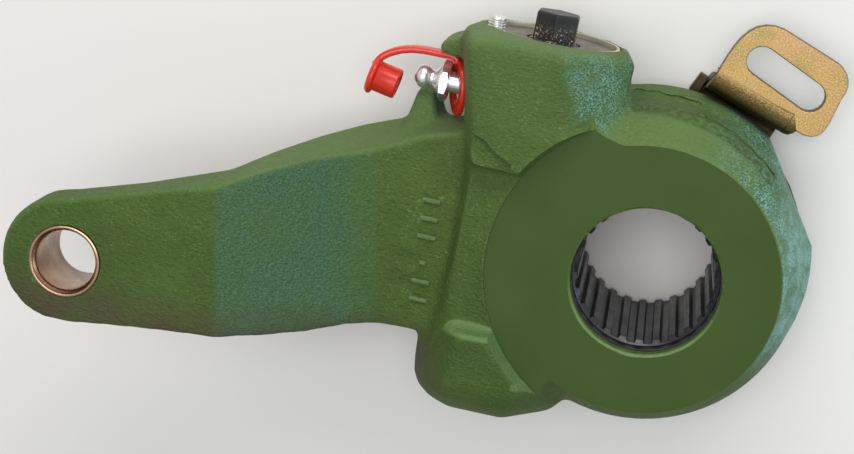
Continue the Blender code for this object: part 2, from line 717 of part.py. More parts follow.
end_cover = turned("end_cover", [
    (COVER_R - 1.0, COVER_TOP_Y),
    (COVER_R, COVER_TOP_Y - 0.7),
    (COVER_R, 51.5),
    (COVER_R - 1.2, 51.5),
    (COVER_R - 1.2, 50.1),
    (COVER_R, 50.1),
    (COVER_R, SEAT_Y + GAP),
    (SHAFT_R + 0.35, SEAT_Y + GAP),
    (SHAFT_R + 0.35, 50.9),
    (SHAFT_R + 1.9, 50.9),
    (SHAFT_R + 1.9, 52.7),
    (SHAFT_R + 0.35, 52.7),
    (SHAFT_R + 0.35, COVER_DISH_Y),
    (COVER_R - 2.2, COVER_DISH_Y),
    (COVER_R - 2.2, COVER_TOP_Y),
], ON_WORM, 40, PARTS)
lock_room = cylinder("lock_room", LOCK_R + GAP, LOCK_ROOT_Y - GAP, BOSS_END_Y + 5, ON_LOCK, 18)
cut(end_cover, lock_room)
finish(end_cover, (0.30, 0.27, 0.23), 0.9, 0.45)
cover_o_ring = torus("cover_o_ring", COVER_R - 0.52, 0.6, 50.8, ON_WORM, PARTS, 36, 6)
finish(cover_o_ring, RUBBER, 0.0, 0.6)
worm_seal = torus("worm_seal", SHAFT_R + 0.98, 0.78, 51.8, ON_WORM, PARTS, 28, 6)
finish(worm_seal, RUBBER, 0.0, 0.6)

DOME_Y = COVER_TOP_Y + 1.5
DOME_FLAT = 0.6
dome = arc(0, DOME_Y, LOCK_R, 90, 15, 4)
lock_profile = [(x, DOME_Y + (y - DOME_Y) * DOME_FLAT) for x, y in dome]
lock_profile[0] = (0, lock_profile[0][1])
for ridge in range(3):
    level = DOME_Y - 0.4 - 0.9 * ridge
    lock_profile += [(LOCK_R, level), (LOCK_R, level - 0.45)]
    lock_profile += [(LOCK_R - 0.35, level - 0.6), (LOCK_R - 0.35, level - 0.8)]
lock_profile += [(LOCK_R - 0.35, LOCK_ROOT_Y), (0, LOCK_ROOT_Y)]
lock_screw = turned("lock_screw", lock_profile, ON_LOCK, 16, PARTS)
finish(lock_screw, ZINC, 1.0, 0.2)


# Clutch train on the worm's tail

clutch_hub_low = -24.6
clutch_wheel = turned("clutch_wheel", [
    (9.0, -WORM_HALF - GAP),
    (9.6, -WORM_HALF - GAP - 0.6),
    (9.6, -19.6),
    (HUB_R, -19.6),
    (HUB_R, clutch_hub_low),
    (TAIL_R + RUNNING, clutch_hub_low),
    (TAIL_R + RUNNING, -WORM_HALF - GAP),
], ON_WORM, 28, PARTS)
ratchet = []
RATCHET_TEETH = 24
for k in range(RATCHET_TEETH):
    start = 2 * pi * k / RATCHET_TEETH
    for radius, offset in ((9.3, 0.0), (10.7, 0.03), (9.5, 0.2)):
        ratchet.append((radius * cos(start + offset), radius * sin(start + offset)))
ratchet_ring = prism("ratchet_teeth", ratchet, -19.3, -17.6, ON_WORM)
cut(ratchet_ring, cylinder("ratchet_core", 8.0, -20, -17, ON_WORM, 24))
join(clutch_wheel, ratchet_ring)
finish(clutch_wheel, STEEL, 1.0, 0.35)

pinion_hub_top = clutch_hub_low - GAP
pinion = turned("pinion", [
    (HUB_R - 0.3, pinion_hub_top),
    (HUB_R, pinion_hub_top - 0.3),
    (HUB_R, PINION_Y[1] + 0.2),
    (PINION_ROOT_R - 0.2, PINION_Y[1] - 0.8),
    (PINION_ROOT_R - 0.2, PINION_Y[0]),
    (TAIL_R + RUNNING, PINION_Y[0]),
    (TAIL_R + RUNNING, pinion_hub_top),
], ON_WORM, 28, PARTS)
pinion_teeth = prism("pinion_teeth", toothed(
    PINION_TEETH,
    PINION_ROOT_R,
    flank_half(PINION_THICK, PINION_ROOT_R, PINION_PITCH_R),
    PINION_TIP_R,
    flank_half(PINION_THICK, PINION_TIP_R, PINION_PITCH_R),
), PINION_Y[0], PINION_Y[1], ON_WORM)
cut(pinion_teeth, cylinder("pinion_core", TAIL_R + 1.0, -40, -29, ON_WORM, 24))
join(pinion, pinion_teeth)
finish(pinion, STEEL, 1.0, 0.35)

CLUTCH_WIRE_R = 0.7
clutch_spring = coil(
    "clutch_spring", HUB_R + 0.3 + CLUTCH_WIRE_R, CLUTCH_WIRE_R, -30.2, -19.9, 5.5, ON_WORM, 12, 0.0,
)
finish(clutch_spring, STEEL, 1.0, 0.3)

worm_bush = washer("worm_bush", TAIL_R + RUNNING, HUB_R, TAIL_END_Y - 0.9, CLUTCH_ROOM_Y - 0.5, ON_WORM, 32)
finish(worm_bush, BRONZE, 0.9, 0.4)


# Rack, its spring and the control disc

RACK_PITCH = pi * PINION_MODULE
pitch_z = WORM_Z - PINION_PITCH_R
rack_top = pitch_z + PINION_TIP_R - PINION_PITCH_R
rack_root = pitch_z - (PINION_PITCH_R - PINION_ROOT_R)
rack_outline = [(RACK_X[0], RACK_FLOOR_Z), (RACK_X[1], RACK_FLOOR_Z), (RACK_X[1], rack_root)]
for k in (1.5, 0.5, -0.5, -1.5):
    middle = WORM_X + k * RACK_PITCH
    half_foot = PINION_THICK / 2 + (pitch_z - rack_root) * tan(FLANK_ANGLE)
    half_tip = PINION_THICK / 2 - (rack_top - pitch_z) * tan(FLANK_ANGLE)
    rack_outline += [
        (middle + half_foot, rack_root),
        (middle + half_tip, rack_top),
        (middle - half_tip, rack_top),
        (middle - half_foot, rack_root),
    ]
rack_outline.append((RACK_X[0], rack_root))
rack = loft("rack", [[(x, y, z) for x, z in rack_outline] for y in RACK_Y], UPRIGHT, PARTS)
rack_tab = block("rack_tab", (-TAB_HALF, RACK_Y[1] - 1, RACK_FLOOR_Z), (TAB_HALF, -TAB_END_R, DISC_Z[1] - 0.2))
join(rack, rack_tab)
finish(rack, STEEL, 1.0, 0.35)

rack_spring = coil(
    "rack_spring", 2.4, 0.45, RACK_X[1] + GAP, RACK_SPRING_END_X, 5.0,
    along((1, 0, 0), (0, sum(RACK_Y) / 2, RACK_FLOOR_Z + 2.9)), 9,
)
finish(rack_spring, STEEL, 1.0, 0.3)

control_disc = turned("control_disc", [
    (DISC_R[1] - 0.3, DISC_Z[1]),
    (DISC_R[1], DISC_Z[1] - 0.3),
    (DISC_R[1], DISC_Z[0]),
    (DISC_R[0], DISC_Z[0]),
    (DISC_R[0], DISC_Z[1]),
], UPRIGHT, 48, PARTS)
cut(control_disc, block(
    "disc_notch", (-NOTCH_HALF, -DISC_R[1] - 2, DISC_Z[0] - 1), (NOTCH_HALF, -NOTCH_FLOOR_R, DISC_Z[1] + 1),
))
finish(control_disc, STEEL, 1.0, 0.4)


# Control arm, one pressing: ring, neck, two bends and the slotted lug

control_arm = turned("control_arm", [
    (NECK_R[1], DISC_Z[1]),
    (NECK_R[1], SHEET),
    (RING_R, SHEET),
    (RING_R, 0),
    (NECK_R[0], 0),
    (NECK_R[0], DISC_Z[1]),
], UPRIGHT, 48, PARTS)
WALL_R = 46.9
LUG_TOP = 20.0
BEND = 2.5
outer_bend = BEND + SHEET
first_x = WALL_R - BEND
second_x = WALL_R + SHEET + BEND
second_z = LUG_TOP - SHEET - BEND
strip_root_r = RING_R - 4.5
strip_end_r = second_x + 3.6
strip = [(strip_root_r, 0.0)]
strip += arc(first_x, outer_bend, outer_bend, -90, 0, 5)
strip += arc(second_x, second_z, BEND, 180, 90, 5)
strip += [(strip_end_r, LUG_TOP - SHEET), (strip_end_r, LUG_TOP)]
strip += arc(second_x, second_z, outer_bend, 90, 180, 7)
strip += arc(first_x, outer_bend, BEND, 0, -90, 4)
strip += [(strip_root_r, SHEET)]
STRIP_Y = (-12.8, 10.7)
bend_strip = loft("bend_strip", [[(x, y, z) for x, z in strip] for y in STRIP_Y], ON_ARM)
lug_outline = [
    (7.3, 54.1), (8.5, 58.0), (9.7, 61.0), (11.0, 63.5), (12.7, 65.7), (14.5, 67.2), (16.8, 68.1), (19.1, 68.4),
    (21.4, 68.1), (23.8, 67.3),
]
lug_outline += arc(35.2, 56.4, 6.2, 66, -30, 6)
lug_outline += [(39.0, 46.0), (38.2, 43.9), (37.2, 42.4), (35.3, 41.5), (32.8, 41.5), (30.7, 42.3), (29.4, 46.3)]
lug = prism("lug", lug_outline, LUG_TOP - SHEET, LUG_TOP)
SLOT_HALF = 4.05
SLOT_TILT = -24.1
slot_outline = arc(17.8, 58.5, SLOT_HALF, 90 + SLOT_TILT, 270 + SLOT_TILT, 10)
slot_outline += arc(32.3, 52.0, SLOT_HALF, -90 + SLOT_TILT, 90 + SLOT_TILT, 10)
base_strip = prism("base_strip", [(27, -16), (37, -12.4), (37, 11.2), (27, 14)], 0, SHEET, ON_ARM)
side_outline = [(39, 7), (48.2, 7), (48.4, 12.8), (46.2, 16.0), (41.0, 12.2)]
side_tab = prism("side_tab", side_outline, 0.2, SHEET - 0.2, ON_ARM)
join(control_arm, base_strip, bend_strip, side_tab, lug)
cut(control_arm, prism("slot", slot_outline, LUG_TOP - SHEET - 2, LUG_TOP + 2))
finish(control_arm, YELLOW_ZINC, 0.9, 0.4)


# Cover plate, gasket and screws on the back

def ring_plate(name, inner, outer, low, high, hole):
    made = turned(name, [(outer, high), (outer, low), (inner, low), (inner, high)], UPRIGHT, 40, PARTS)
    for number, place in enumerate(SCREW_PLACES):
        cut(made, cylinder(f"{name}_hole_{number}", hole, low - 1, high + 1, place, 10))
    return made


finish(ring_plate("cover_plate", NECK_R[1] + 0.5, PLATE_R, *PLATE_Z, SCREW_R + 0.4), ZINC, 0.9, 0.4)
finish(ring_plate("cover_gasket", POCKET_R + 0.5, PLATE_R, *GASKET_Z, SCREW_R + 0.5), RUBBER, 0.0, 0.8)

for number, place in enumerate(SCREW_PLACES):
    screw = turned(f"cover_screw_{number + 1}", [
        (0, SCREW_TIP_Z),
        (SCREW_R - 0.4, SCREW_TIP_Z),
        (SCREW_R, SCREW_TIP_Z - 0.6),
        (SCREW_R, HEAD_Z[1]),
        (HEAD_R, HEAD_Z[1]),
        (HEAD_R, HEAD_Z[0] + 0.8),
        (HEAD_R - 0.7, HEAD_Z[0]),
        (0, HEAD_Z[0]),
    ], place, 14, PARTS)
    cut(screw, prism(f"recess_{number}", hexagon(2.9, 0), HEAD_Z[0] - 1, HEAD_Z[0] + 1.3, place))
    finish(screw, ZINC, 1.0, 0.3)


# Grease nipple with its ball and spring

NIPPLE_BORE_R = 1.35
NIPPLE_MOUTH_R = 0.85
grease_nipple = turned("grease_nipple", [
    (NIPPLE_MOUTH_R, NIPPLE_TIP),
    (1.5, NIPPLE_TIP),
    (2.7, NIPPLE_TIP - 0.9),
    (3.2, NIPPLE_TIP - 2.1),
    (3.2, NIPPLE_TIP - 2.8),
    (2.3, NIPPLE_TIP - 4.4),
    (2.3, NIPPLE_HEX[1] + 1.8),
    (3.9, NIPPLE_HEX[1] + 0.1),
    (3.9, NIPPLE_HEX[0]),
    (NECK_OF_NIPPLE_R, NIPPLE_HEX[0]),
    (NECK_OF_NIPPLE_R, NIPPLE_ROOT),
    (NIPPLE_BORE_R, NIPPLE_ROOT),
    (NIPPLE_BORE_R, NIPPLE_TIP - 0.9),
    (NIPPLE_MOUTH_R, NIPPLE_TIP - 0.4),
], ON_NIPPLE, 20, PARTS)
nipple_hexagon = prism(
    "nipple_hexagon", hexagon(NIPPLE_HEX_FLATS), NIPPLE_HEX[0] + 0.05, NIPPLE_HEX[1] - 0.05, ON_NIPPLE,
)
cut(nipple_hexagon, cylinder("nipple_core", 2.0, NIPPLE_HEX[0] - 3, NIPPLE_HEX[1] + 3, ON_NIPPLE, 16))
join(grease_nipple, nipple_hexagon)
finish(grease_nipple, ZINC, 1.0, 0.15)

VALVE_BALL_R = 1.1
ball_middle = NIPPLE_TIP - 1.7
ball_ring = arc(0, ball_middle, VALVE_BALL_R, 90, -90, 8)
nipple_ball = turned("nipple_ball", [
    (0, ball_middle + VALVE_BALL_R), *ball_ring[1:-1], (0, ball_middle - VALVE_BALL_R),
], ON_NIPPLE, 14, PARTS)
finish(nipple_ball, STEEL, 1.0, 0.1)
nipple_spring = coil("nipple_spring", 0.85, 0.2, 60.0, ball_middle - VALVE_BALL_R - GAP, 5.0, ON_NIPPLE, 8)
finish(nipple_spring, STEEL, 1.0, 0.3)


# Nipple cap: cap, strap and ring in one moulding, with its origin on the nipple's axis

SWIVEL_AT = (-62.2, NIPPLE_Y, NIPPLE_Z)
CAP_AT = Vector((-84.0, 34.9, NIPPLE_Z))
CAP_TO = Vector((-75.9, 33.4, NIPPLE_Z))
STRAP_HALF = 0.7
STRAP_DEEP = 1.9
strap_line = [
    (-60.9, 42.9), (-62.4, 44.1), (-65.0, 44.2), (-68.0, 44.2), (-71.0, 44.1), (-74.0, 43.7), (-77.0, 42.8),
    (-79.6, 41.5), (-81.7, 39.8), (-83.0, 37.6),
]
left_side = []
right_side = []
for i, (x, y) in enumerate(strap_line):
    before = strap_line[max(i - 1, 0)]
    after = strap_line[min(i + 1, len(strap_line) - 1)]
    run = hypot(after[0] - before[0], after[1] - before[1])
    across = ((before[1] - after[1]) / run, (after[0] - before[0]) / run)
    here = (x - SWIVEL_AT[0], y - SWIVEL_AT[1])
    left_side.append((here[0] + across[0] * STRAP_HALF, here[1] + across[1] * STRAP_HALF))
    right_side.append((here[0] - across[0] * STRAP_HALF, here[1] - across[1] * STRAP_HALF))
nipple_cap = prism(
    "nipple_cap", left_side + right_side[::-1], -STRAP_DEEP, STRAP_DEEP, along((0, 0, 1), SWIVEL_AT), PARTS,
)

cap_length = (CAP_TO - CAP_AT).length
cap_body = turned("cap_body", [
    (0, 2.2),
    (3.2, 2.2),
    (3.2, cap_length - 0.4),
    (3.5, cap_length),
    (3.9, cap_length),
    (4.15, cap_length - 0.4),
    (4.15, 2.0),
    (5.2, 1.7),
    (5.3, 1.1),
    (5.2, 0.5),
    (4.7, 0),
    (0, 0),
], along((CAP_TO - CAP_AT).normalized(), CAP_AT), 24)
# The ring lies loosely against the boss's slanted side.
RING_LEAN = 0.17
cap_ring = washer(
    "cap_ring", *CAP_RING_R, -CAP_RING_THICK / 2, CAP_RING_THICK / 2,
    along((-1, -RING_LEAN, RING_LEAN), CAP_RING_AT), 28, CUTTERS,
)
join(nipple_cap, cap_body, cap_ring)
finish(nipple_cap, RED, 0.0, 0.3)


# Smooth shading with sharp edges

for made in PARTS.objects:
    if made.type == "MESH":
        for face in made.data.polygons:
            face.use_smooth = True
        made.data.set_sharp_from_angle(angle=radians(32))
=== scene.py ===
# %% [markdown]
# # A brake slack adjuster, dressed for the camera
# The solids of the adjuster are already made and joined to their moving bodies. This lesson loads them, lights
# them, and gives each piece the surface of the real thing: a painted sand casting, a black splined wheel,
# yellow zinc sheet, bright zinc fittings and a glossy red cap.
# %% Load the solids
from math import cos, pi, radians, sin, tan

import bmesh
import bpy
import numpy as np
from mathutils import Matrix, Vector


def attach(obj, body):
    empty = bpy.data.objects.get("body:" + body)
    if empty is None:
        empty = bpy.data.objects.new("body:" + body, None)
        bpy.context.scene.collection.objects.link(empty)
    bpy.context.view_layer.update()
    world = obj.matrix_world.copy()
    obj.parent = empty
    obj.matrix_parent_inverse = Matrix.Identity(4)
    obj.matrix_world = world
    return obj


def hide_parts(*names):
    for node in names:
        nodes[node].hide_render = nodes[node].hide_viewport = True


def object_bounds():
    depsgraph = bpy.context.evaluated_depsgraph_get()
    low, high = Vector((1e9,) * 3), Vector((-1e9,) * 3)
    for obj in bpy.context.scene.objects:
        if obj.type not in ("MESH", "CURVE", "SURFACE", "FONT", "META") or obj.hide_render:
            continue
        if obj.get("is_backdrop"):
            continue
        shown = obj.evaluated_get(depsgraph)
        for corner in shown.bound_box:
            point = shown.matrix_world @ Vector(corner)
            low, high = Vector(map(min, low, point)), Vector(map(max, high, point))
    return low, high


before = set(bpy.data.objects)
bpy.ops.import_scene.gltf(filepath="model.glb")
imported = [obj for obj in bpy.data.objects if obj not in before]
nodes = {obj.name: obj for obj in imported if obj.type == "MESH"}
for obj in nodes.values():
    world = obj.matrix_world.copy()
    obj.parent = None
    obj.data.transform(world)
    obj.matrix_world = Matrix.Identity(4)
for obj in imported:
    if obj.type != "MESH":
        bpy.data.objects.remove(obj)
solid_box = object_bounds()
MM = 0.001

# %% [markdown]
# ## Camera
# The picture looks nearly straight down on the machined face, from a little above the hexagon's side. A long
# lens keeps the boss and the arm in natural proportion. The camera could be aimed with a tracking constraint,
# but a location and three angles are easier to read and to change.
# %% Camera
CAMERA_AT = (-0.0155, 0.1164, 0.4822)
CAMERA_TILT = (-13.424, 8.433, 10.930)
CAMERA_LENS = 72.2

camera = bpy.data.objects.new("studio_camera", bpy.data.cameras.new("studio_camera"))
camera.location = CAMERA_AT
camera.rotation_euler = [radians(angle) for angle in CAMERA_TILT]
camera.data.lens = CAMERA_LENS
camera.data.clip_start = 0.01
bpy.context.scene.collection.objects.link(camera)
bpy.context.scene.camera = camera
print("camera", round(camera.location.z / MM), "mm above the table")

# %% [markdown]
# ## Table and light
# The adjuster lies on a pale table under a broad soft light from above, a weaker one from the hexagon's side that
# draws the shiny edges, and a faint cool fill from the right. Light from above also reaches the table through the
# open bore, as a lamp at the side would not.
# The sky is pale only where the camera or a shiny surface sees it, so it doesn't flatten the shadows.
# %% Table and light
TABLE_COLOUR = (0.82, 0.81, 0.79, 1)
SKY_LIGHT = 0.36
SKY_SEEN = 0.66

bpy.ops.mesh.primitive_plane_add(size=6)
table = bpy.context.object
table.name = "table"
table_top = bpy.data.materials.new("table_top")
table_top.use_nodes = True
table_shader = table_top.node_tree.nodes["Principled BSDF"]
table_shader.inputs["Base Color"].default_value = TABLE_COLOUR
table_shader.inputs["Roughness"].default_value = 0.55
table.data.materials.append(table_top)
table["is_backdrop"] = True


def soft_lamp(name, at, aim, width, height, watts, colour):
    lamp = bpy.data.lights.new(name, "AREA")
    lamp.shape = "RECTANGLE"
    lamp.size = width
    lamp.size_y = height
    lamp.energy = watts
    lamp.color = colour
    made = bpy.data.objects.new(name, lamp)
    made.location = at
    made.rotation_euler = (Vector(aim) - Vector(at)).to_track_quat("-Z", "Y").to_euler()
    bpy.context.scene.collection.objects.link(made)
    return made


soft_lamp("ceiling_lamp", (-0.16, 0.20, 1.50), (-0.05, 0, 0), 1.1, 0.8, 10.5, (1.0, 0.985, 0.965))
soft_lamp("window_lamp", (0.00, 0.95, 0.66), (-0.05, 0, 0.03), 1.0, 0.4, 6.3, (1.0, 0.98, 0.95))
soft_lamp("cool_fill", (0.85, 0.12, 0.34), (0, 0, 0.03), 0.4, 0.3, 1.2, (0.60, 0.90, 1.0))

sky = bpy.data.worlds.new("studio_sky")
bpy.context.scene.world = sky
sky.use_nodes = True
sky_nodes = sky.node_tree.nodes
sky_links = sky.node_tree.links
sky_glow = sky_nodes["Background"]
sky_glow.inputs["Color"].default_value = (0.97, 0.98, 1.0, 1)
ray = sky_nodes.new("ShaderNodeLightPath")
seen = sky_nodes.new("ShaderNodeMath")
seen.operation = "MAXIMUM"
seen_clear = sky_nodes.new("ShaderNodeMath")
seen_clear.operation = "MAXIMUM"
level = sky_nodes.new("ShaderNodeMapRange")
level.inputs["To Min"].default_value = SKY_LIGHT
level.inputs["To Max"].default_value = SKY_SEEN
sky_links.new(ray.outputs["Is Camera Ray"], seen.inputs[0])
sky_links.new(ray.outputs["Is Glossy Ray"], seen.inputs[1])
sky_links.new(seen.outputs[0], seen_clear.inputs[0])
sky_links.new(ray.outputs["Is Transmission Ray"], seen_clear.inputs[1])
sky_links.new(seen_clear.outputs[0], level.inputs["Value"])
sky_links.new(level.outputs["Result"], sky_glow.inputs["Strength"])
bpy.context.scene.view_settings.view_transform = "Standard"

# %% [markdown]
# ## Finishes: a small kit of nodes
# Every finish here is a Principled shader with textures that follow the piece's own coordinates in metres, so a
# noise of scale 1000 has grains of about a millimetre. Painting with images would need unwrapped meshes, and
# these node textures don't.
# %% Node helpers


def new_finish(name, colour, roughness, metallic=0.0):
    made = bpy.data.materials.new(name)
    made.use_nodes = True
    shader = made.node_tree.nodes["Principled BSDF"]
    shader.inputs["Base Color"].default_value = (*colour, 1)
    shader.inputs["Roughness"].default_value = roughness
    shader.inputs["Metallic"].default_value = metallic
    return made


def shader_of(finish):
    return finish.node_tree.nodes["Principled BSDF"]


def node(finish, kind, **sockets):
    made = finish.node_tree.nodes.new("ShaderNode" + kind)
    for name, value in sockets.items():
        put(finish, value, made.inputs[name.replace("_", " ")])
    return made


def put(finish, value, socket):
    """Wires an output to the socket, or sets a plain value on it."""
    if isinstance(value, bpy.types.NodeSocket):
        finish.node_tree.links.new(value, socket)
    else:
        socket.default_value = value


def place_of(finish, stretch=(1, 1, 1), turn=(0, 0, 0)):
    coordinates = node(finish, "TexCoord").outputs["Object"]
    mapping = node(finish, "Mapping", Vector=coordinates, Rotation=turn, Scale=stretch)
    return mapping.outputs["Vector"]


def noise(finish, scale, detail=2.0, stretch=(1, 1, 1), turn=(0, 0, 0)):
    made = node(finish, "TexNoise", Vector=place_of(finish, stretch, turn), Scale=scale, Detail=detail)
    return made.outputs["Fac"]


def band(finish, value, low, high, to_low=0.0, to_high=1.0):
    """The value stretched so that low becomes to_low and high becomes to_high, and held there beyond them."""
    made = node(finish, "MapRange", Value=value, From_Min=low, From_Max=high, To_Min=to_low, To_Max=to_high)
    return made.outputs["Result"]


def maths(finish, operation, first, second=0.0):
    made = finish.node_tree.nodes.new("ShaderNodeMath")
    made.operation = operation
    put(finish, first, made.inputs[0])
    put(finish, second, made.inputs[1])
    return made.outputs[0]


def blend(finish, factor, first, second):
    """A colour between two colours."""
    made = finish.node_tree.nodes.new("ShaderNodeMix")
    made.data_type = "RGBA"
    put(finish, factor, made.inputs["Factor"])
    for value, socket in ((first, made.inputs["A"]), (second, made.inputs["B"])):
        colours = [s for s in made.inputs if s.name == socket.name and s.type == "RGBA"][0]
        put(finish, value if isinstance(value, bpy.types.NodeSocket) else (*value, 1), colours)
    return [s for s in made.outputs if s.type == "RGBA"][0]


def bumped(finish, *layers):
    """Relief on the shader from (height, depth in metres, strength) layers, the coarsest first."""
    normal = None
    for height, depth, strength in layers:
        made = node(finish, "Bump", Height=height, Distance=depth, Strength=strength)
        if normal:
            put(finish, normal, made.inputs["Normal"])
        normal = made.outputs["Normal"]
    put(finish, normal, shader_of(finish).inputs["Normal"])


def coloured(finish, colour):
    put(finish, colour, shader_of(finish).inputs["Base Color"])


def roughened(finish, roughness):
    put(finish, roughness, shader_of(finish).inputs["Roughness"])


def parts_of_place(finish):
    """X, Y and Z of the surface in the piece's own coordinates."""
    split = node(finish, "SeparateXYZ", Vector=node(finish, "TexCoord").outputs["Object"])
    return split.outputs


print("node helpers ready")

# %% [markdown]
# ## Green paint over a sand casting
# The sand mould leaves a pebbly skin, and the paint over it is a little thicker in the hollows. The hub's face was
# milled before painting, so it is flat and smoother, and its darker green is painted shade for the dark reflection
# of its smooth face. One finish covers both, with a mask that knows where the cutter went: above the milled height
# and inside the cutter's radius.
# %% Cast paint
CAST_GREEN = (0.070, 0.122, 0.019)
# The darker green serves darker tone, coarse skin and painted shade; the paler green serves pale flecks and painted
# highlights.
CAST_GREEN_DARK_AND_SHADE = (0.032, 0.068, 0.010)
CAST_GREEN_PALE_AND_HIGHLIGHT = (0.150, 0.245, 0.085)
# Teal colours of the painted cool sheen on faces turned to the right.
TEAL_SHEEN = (0.215, 0.460, 0.400)
TEAL_SHEEN_BRIGHT = (0.330, 0.600, 0.560)
TEAL_SHEEN_DARK = (0.036, 0.105, 0.055)
# The milled greens are darker as painted shade for the dark reflection of the smooth face.
MILLED_GREEN = (0.033, 0.068, 0.006)
MILLED_GREEN_WORN = (0.042, 0.079, 0.010)
GRIME = (0.070, 0.055, 0.030)
FACE_Z = 50.0
FACE_MILL_R = 42.3
FACE_EDGE = 0.12

cast_paint = new_finish("cast_paint", CAST_GREEN, 0.5)
x, y, z = parts_of_place(cast_paint)
facing = node(cast_paint, "SeparateXYZ", Vector=node(cast_paint, "TexCoord").outputs["Normal"]).outputs
reach = maths(cast_paint, "SQRT", maths(
    cast_paint, "ADD", maths(cast_paint, "MULTIPLY", x, x), maths(cast_paint, "MULTIPLY", y, y),
))
inside_mill = band(cast_paint, reach, FACE_MILL_R * MM, (FACE_MILL_R + FACE_EDGE) * MM, 1.0, 0.0)
above_mill = band(cast_paint, z, (FACE_Z - 2 * FACE_EDGE) * MM, (FACE_Z - FACE_EDGE) * MM)
below_mill = band(cast_paint, z, (FACE_Z + FACE_EDGE) * MM, (FACE_Z + 2 * FACE_EDGE) * MM, 1.0, 0.0)
level_face = band(cast_paint, facing[2], 0.97, 0.99)
milled = maths(cast_paint, "MULTIPLY", maths(cast_paint, "MULTIPLY", inside_mill, above_mill), below_mill)
milled = maths(cast_paint, "MULTIPLY", milled, level_face)
rough_skin = maths(cast_paint, "SUBTRACT", 1.0, milled)

patches = noise(cast_paint, 45, 3)
pebbles = noise(cast_paint, 1050, 4, (0.8, 1.25, 1))
fine_pebbles = noise(cast_paint, 1900, 3, (0.7, 1.3, 1))
lumps = noise(cast_paint, 260, 2)
cast_colour = blend(cast_paint, band(cast_paint, patches, 0.35, 0.7, 0.0, 0.6), CAST_GREEN, CAST_GREEN_DARK_AND_SHADE)
flecks = maths(cast_paint, "MULTIPLY", band(cast_paint, fine_pebbles, 0.56, 0.68), band(cast_paint, lumps, 0.42, 0.62, 0.15, 0.8))
cast_colour = blend(cast_paint, flecks, cast_colour, CAST_GREEN_PALE_AND_HIGHLIGHT)
cast_colour = blend(cast_paint, band(cast_paint, pebbles, 0.44, 0.28, 0.0, 0.7), cast_colour, CAST_GREEN_DARK_AND_SHADE)
# Painted light: darker towards the closed end, away from the window lamp, and paler towards the hexagon's side, where
# that lamp stands.
cast_colour = blend(cast_paint, band(cast_paint, y, -4 * MM, -40 * MM, 0.0, 0.40), cast_colour, CAST_GREEN_DARK_AND_SHADE)
cast_colour = blend(cast_paint, band(cast_paint, y, 5 * MM, 52 * MM, 0.0, 0.20), cast_colour, CAST_GREEN_PALE_AND_HIGHLIGHT)
# Painted light: faces turned towards the hexagon's side, where the window lamp stands, are paler.
lit_towards_window = maths(cast_paint, "MULTIPLY", band(cast_paint, facing[1], 0.25, 0.8), band(cast_paint, y, -10 * MM, 10 * MM))
lit_towards_window = maths(cast_paint, "MULTIPLY", lit_towards_window, maths(
    cast_paint, "MAXIMUM", band(cast_paint, z, 32 * MM, 45 * MM), band(cast_paint, x, -18 * MM, -24 * MM),
))
cast_colour = blend(cast_paint, maths(cast_paint, "MULTIPLY", lit_towards_window, 0.42), cast_colour, CAST_GREEN_PALE_AND_HIGHLIGHT)
# Outer edges are paler, partly wear and partly painted highlight; inner corners are darker as painted shade.
sharpness = node(cast_paint, "NewGeometry").outputs["Pointiness"]
cast_colour = blend(cast_paint, band(cast_paint, sharpness, 0.515, 0.57, 0.0, 0.6), cast_colour, CAST_GREEN_PALE_AND_HIGHLIGHT)
cast_colour = blend(cast_paint, band(cast_paint, sharpness, 0.488, 0.44, 0.0, 0.6), cast_colour, CAST_GREEN_DARK_AND_SHADE)
# Painted cool sheen: rough skin that faces the right, towards the cool fill lamp, is tinted teal with bright grains.
cool_sheen = maths(cast_paint, "MULTIPLY", band(cast_paint, facing[0], 0.15, 0.62), band(cast_paint, patches, 0.25, 0.5, 0.4, 1.0))
cool_sheen = maths(cast_paint, "MULTIPLY", cool_sheen, maths(
    cast_paint, "MAXIMUM", band(cast_paint, x, -60 * MM, 15 * MM, 0.30, 0.95), band(cast_paint, x, -58 * MM, -64 * MM, 0.0, 0.80),
))
on_lever = band(cast_paint, x, -58 * MM, -64 * MM)
cool_sheen = maths(cast_paint, "MULTIPLY", cool_sheen, maths(
    cast_paint, "MAXIMUM", band(cast_paint, lumps, 0.36, 0.58, 0.45, 1.0), on_lever,
))
sheen_grains = band(cast_paint, noise(cast_paint, 2000, 3, (0.7, 1.3, 1)), 0.45, 0.60)
upper_side = maths(
    cast_paint, "MAXIMUM", band(cast_paint, y, -22 * MM, -6 * MM), band(cast_paint, x, -50 * MM, -60 * MM),
)
off_the_wall = maths(
    cast_paint, "MAXIMUM", band(cast_paint, reach, 45.2 * MM, 46.2 * MM), band(cast_paint, z, 49.6 * MM, 49.2 * MM),
)
off_the_wall = maths(cast_paint, "MULTIPLY", off_the_wall, band(cast_paint, reach, 28 * MM, 30 * MM))
cool_sheen = maths(cast_paint, "MULTIPLY", cool_sheen, maths(cast_paint, "MULTIPLY", upper_side, off_the_wall))
teal_sheen = blend(cast_paint, sheen_grains, TEAL_SHEEN_DARK, TEAL_SHEEN)
teal_sheen = blend(cast_paint, band(cast_paint, x, 24 * MM, 38 * MM, 0.0, 0.45), teal_sheen, TEAL_SHEEN_BRIGHT)
thin_teal_sheen = blend(cast_paint, sheen_grains, (0.040, 0.112, 0.055), (0.085, 0.190, 0.118))
teal_sheen = blend(cast_paint, on_lever, teal_sheen, thin_teal_sheen)
cast_colour = blend(cast_paint, cool_sheen, cast_colour, teal_sheen)
grime_spots = maths(cast_paint, "MULTIPLY", band(cast_paint, noise(cast_paint, 70, 5), 0.62, 0.74), 0.22)
# Brown grease has collected low on the closed end of the boss.
low_end = maths(cast_paint, "MULTIPLY", band(cast_paint, y, -24 * MM, -36 * MM), band(cast_paint, x, -44 * MM, -54 * MM))
low_end = maths(cast_paint, "MULTIPLY", low_end, band(cast_paint, noise(cast_paint, 110, 5), 0.35, 0.60, 0.45, 0.95))
cast_colour = blend(cast_paint, maths(cast_paint, "MAXIMUM", grime_spots, low_end), cast_colour, GRIME)
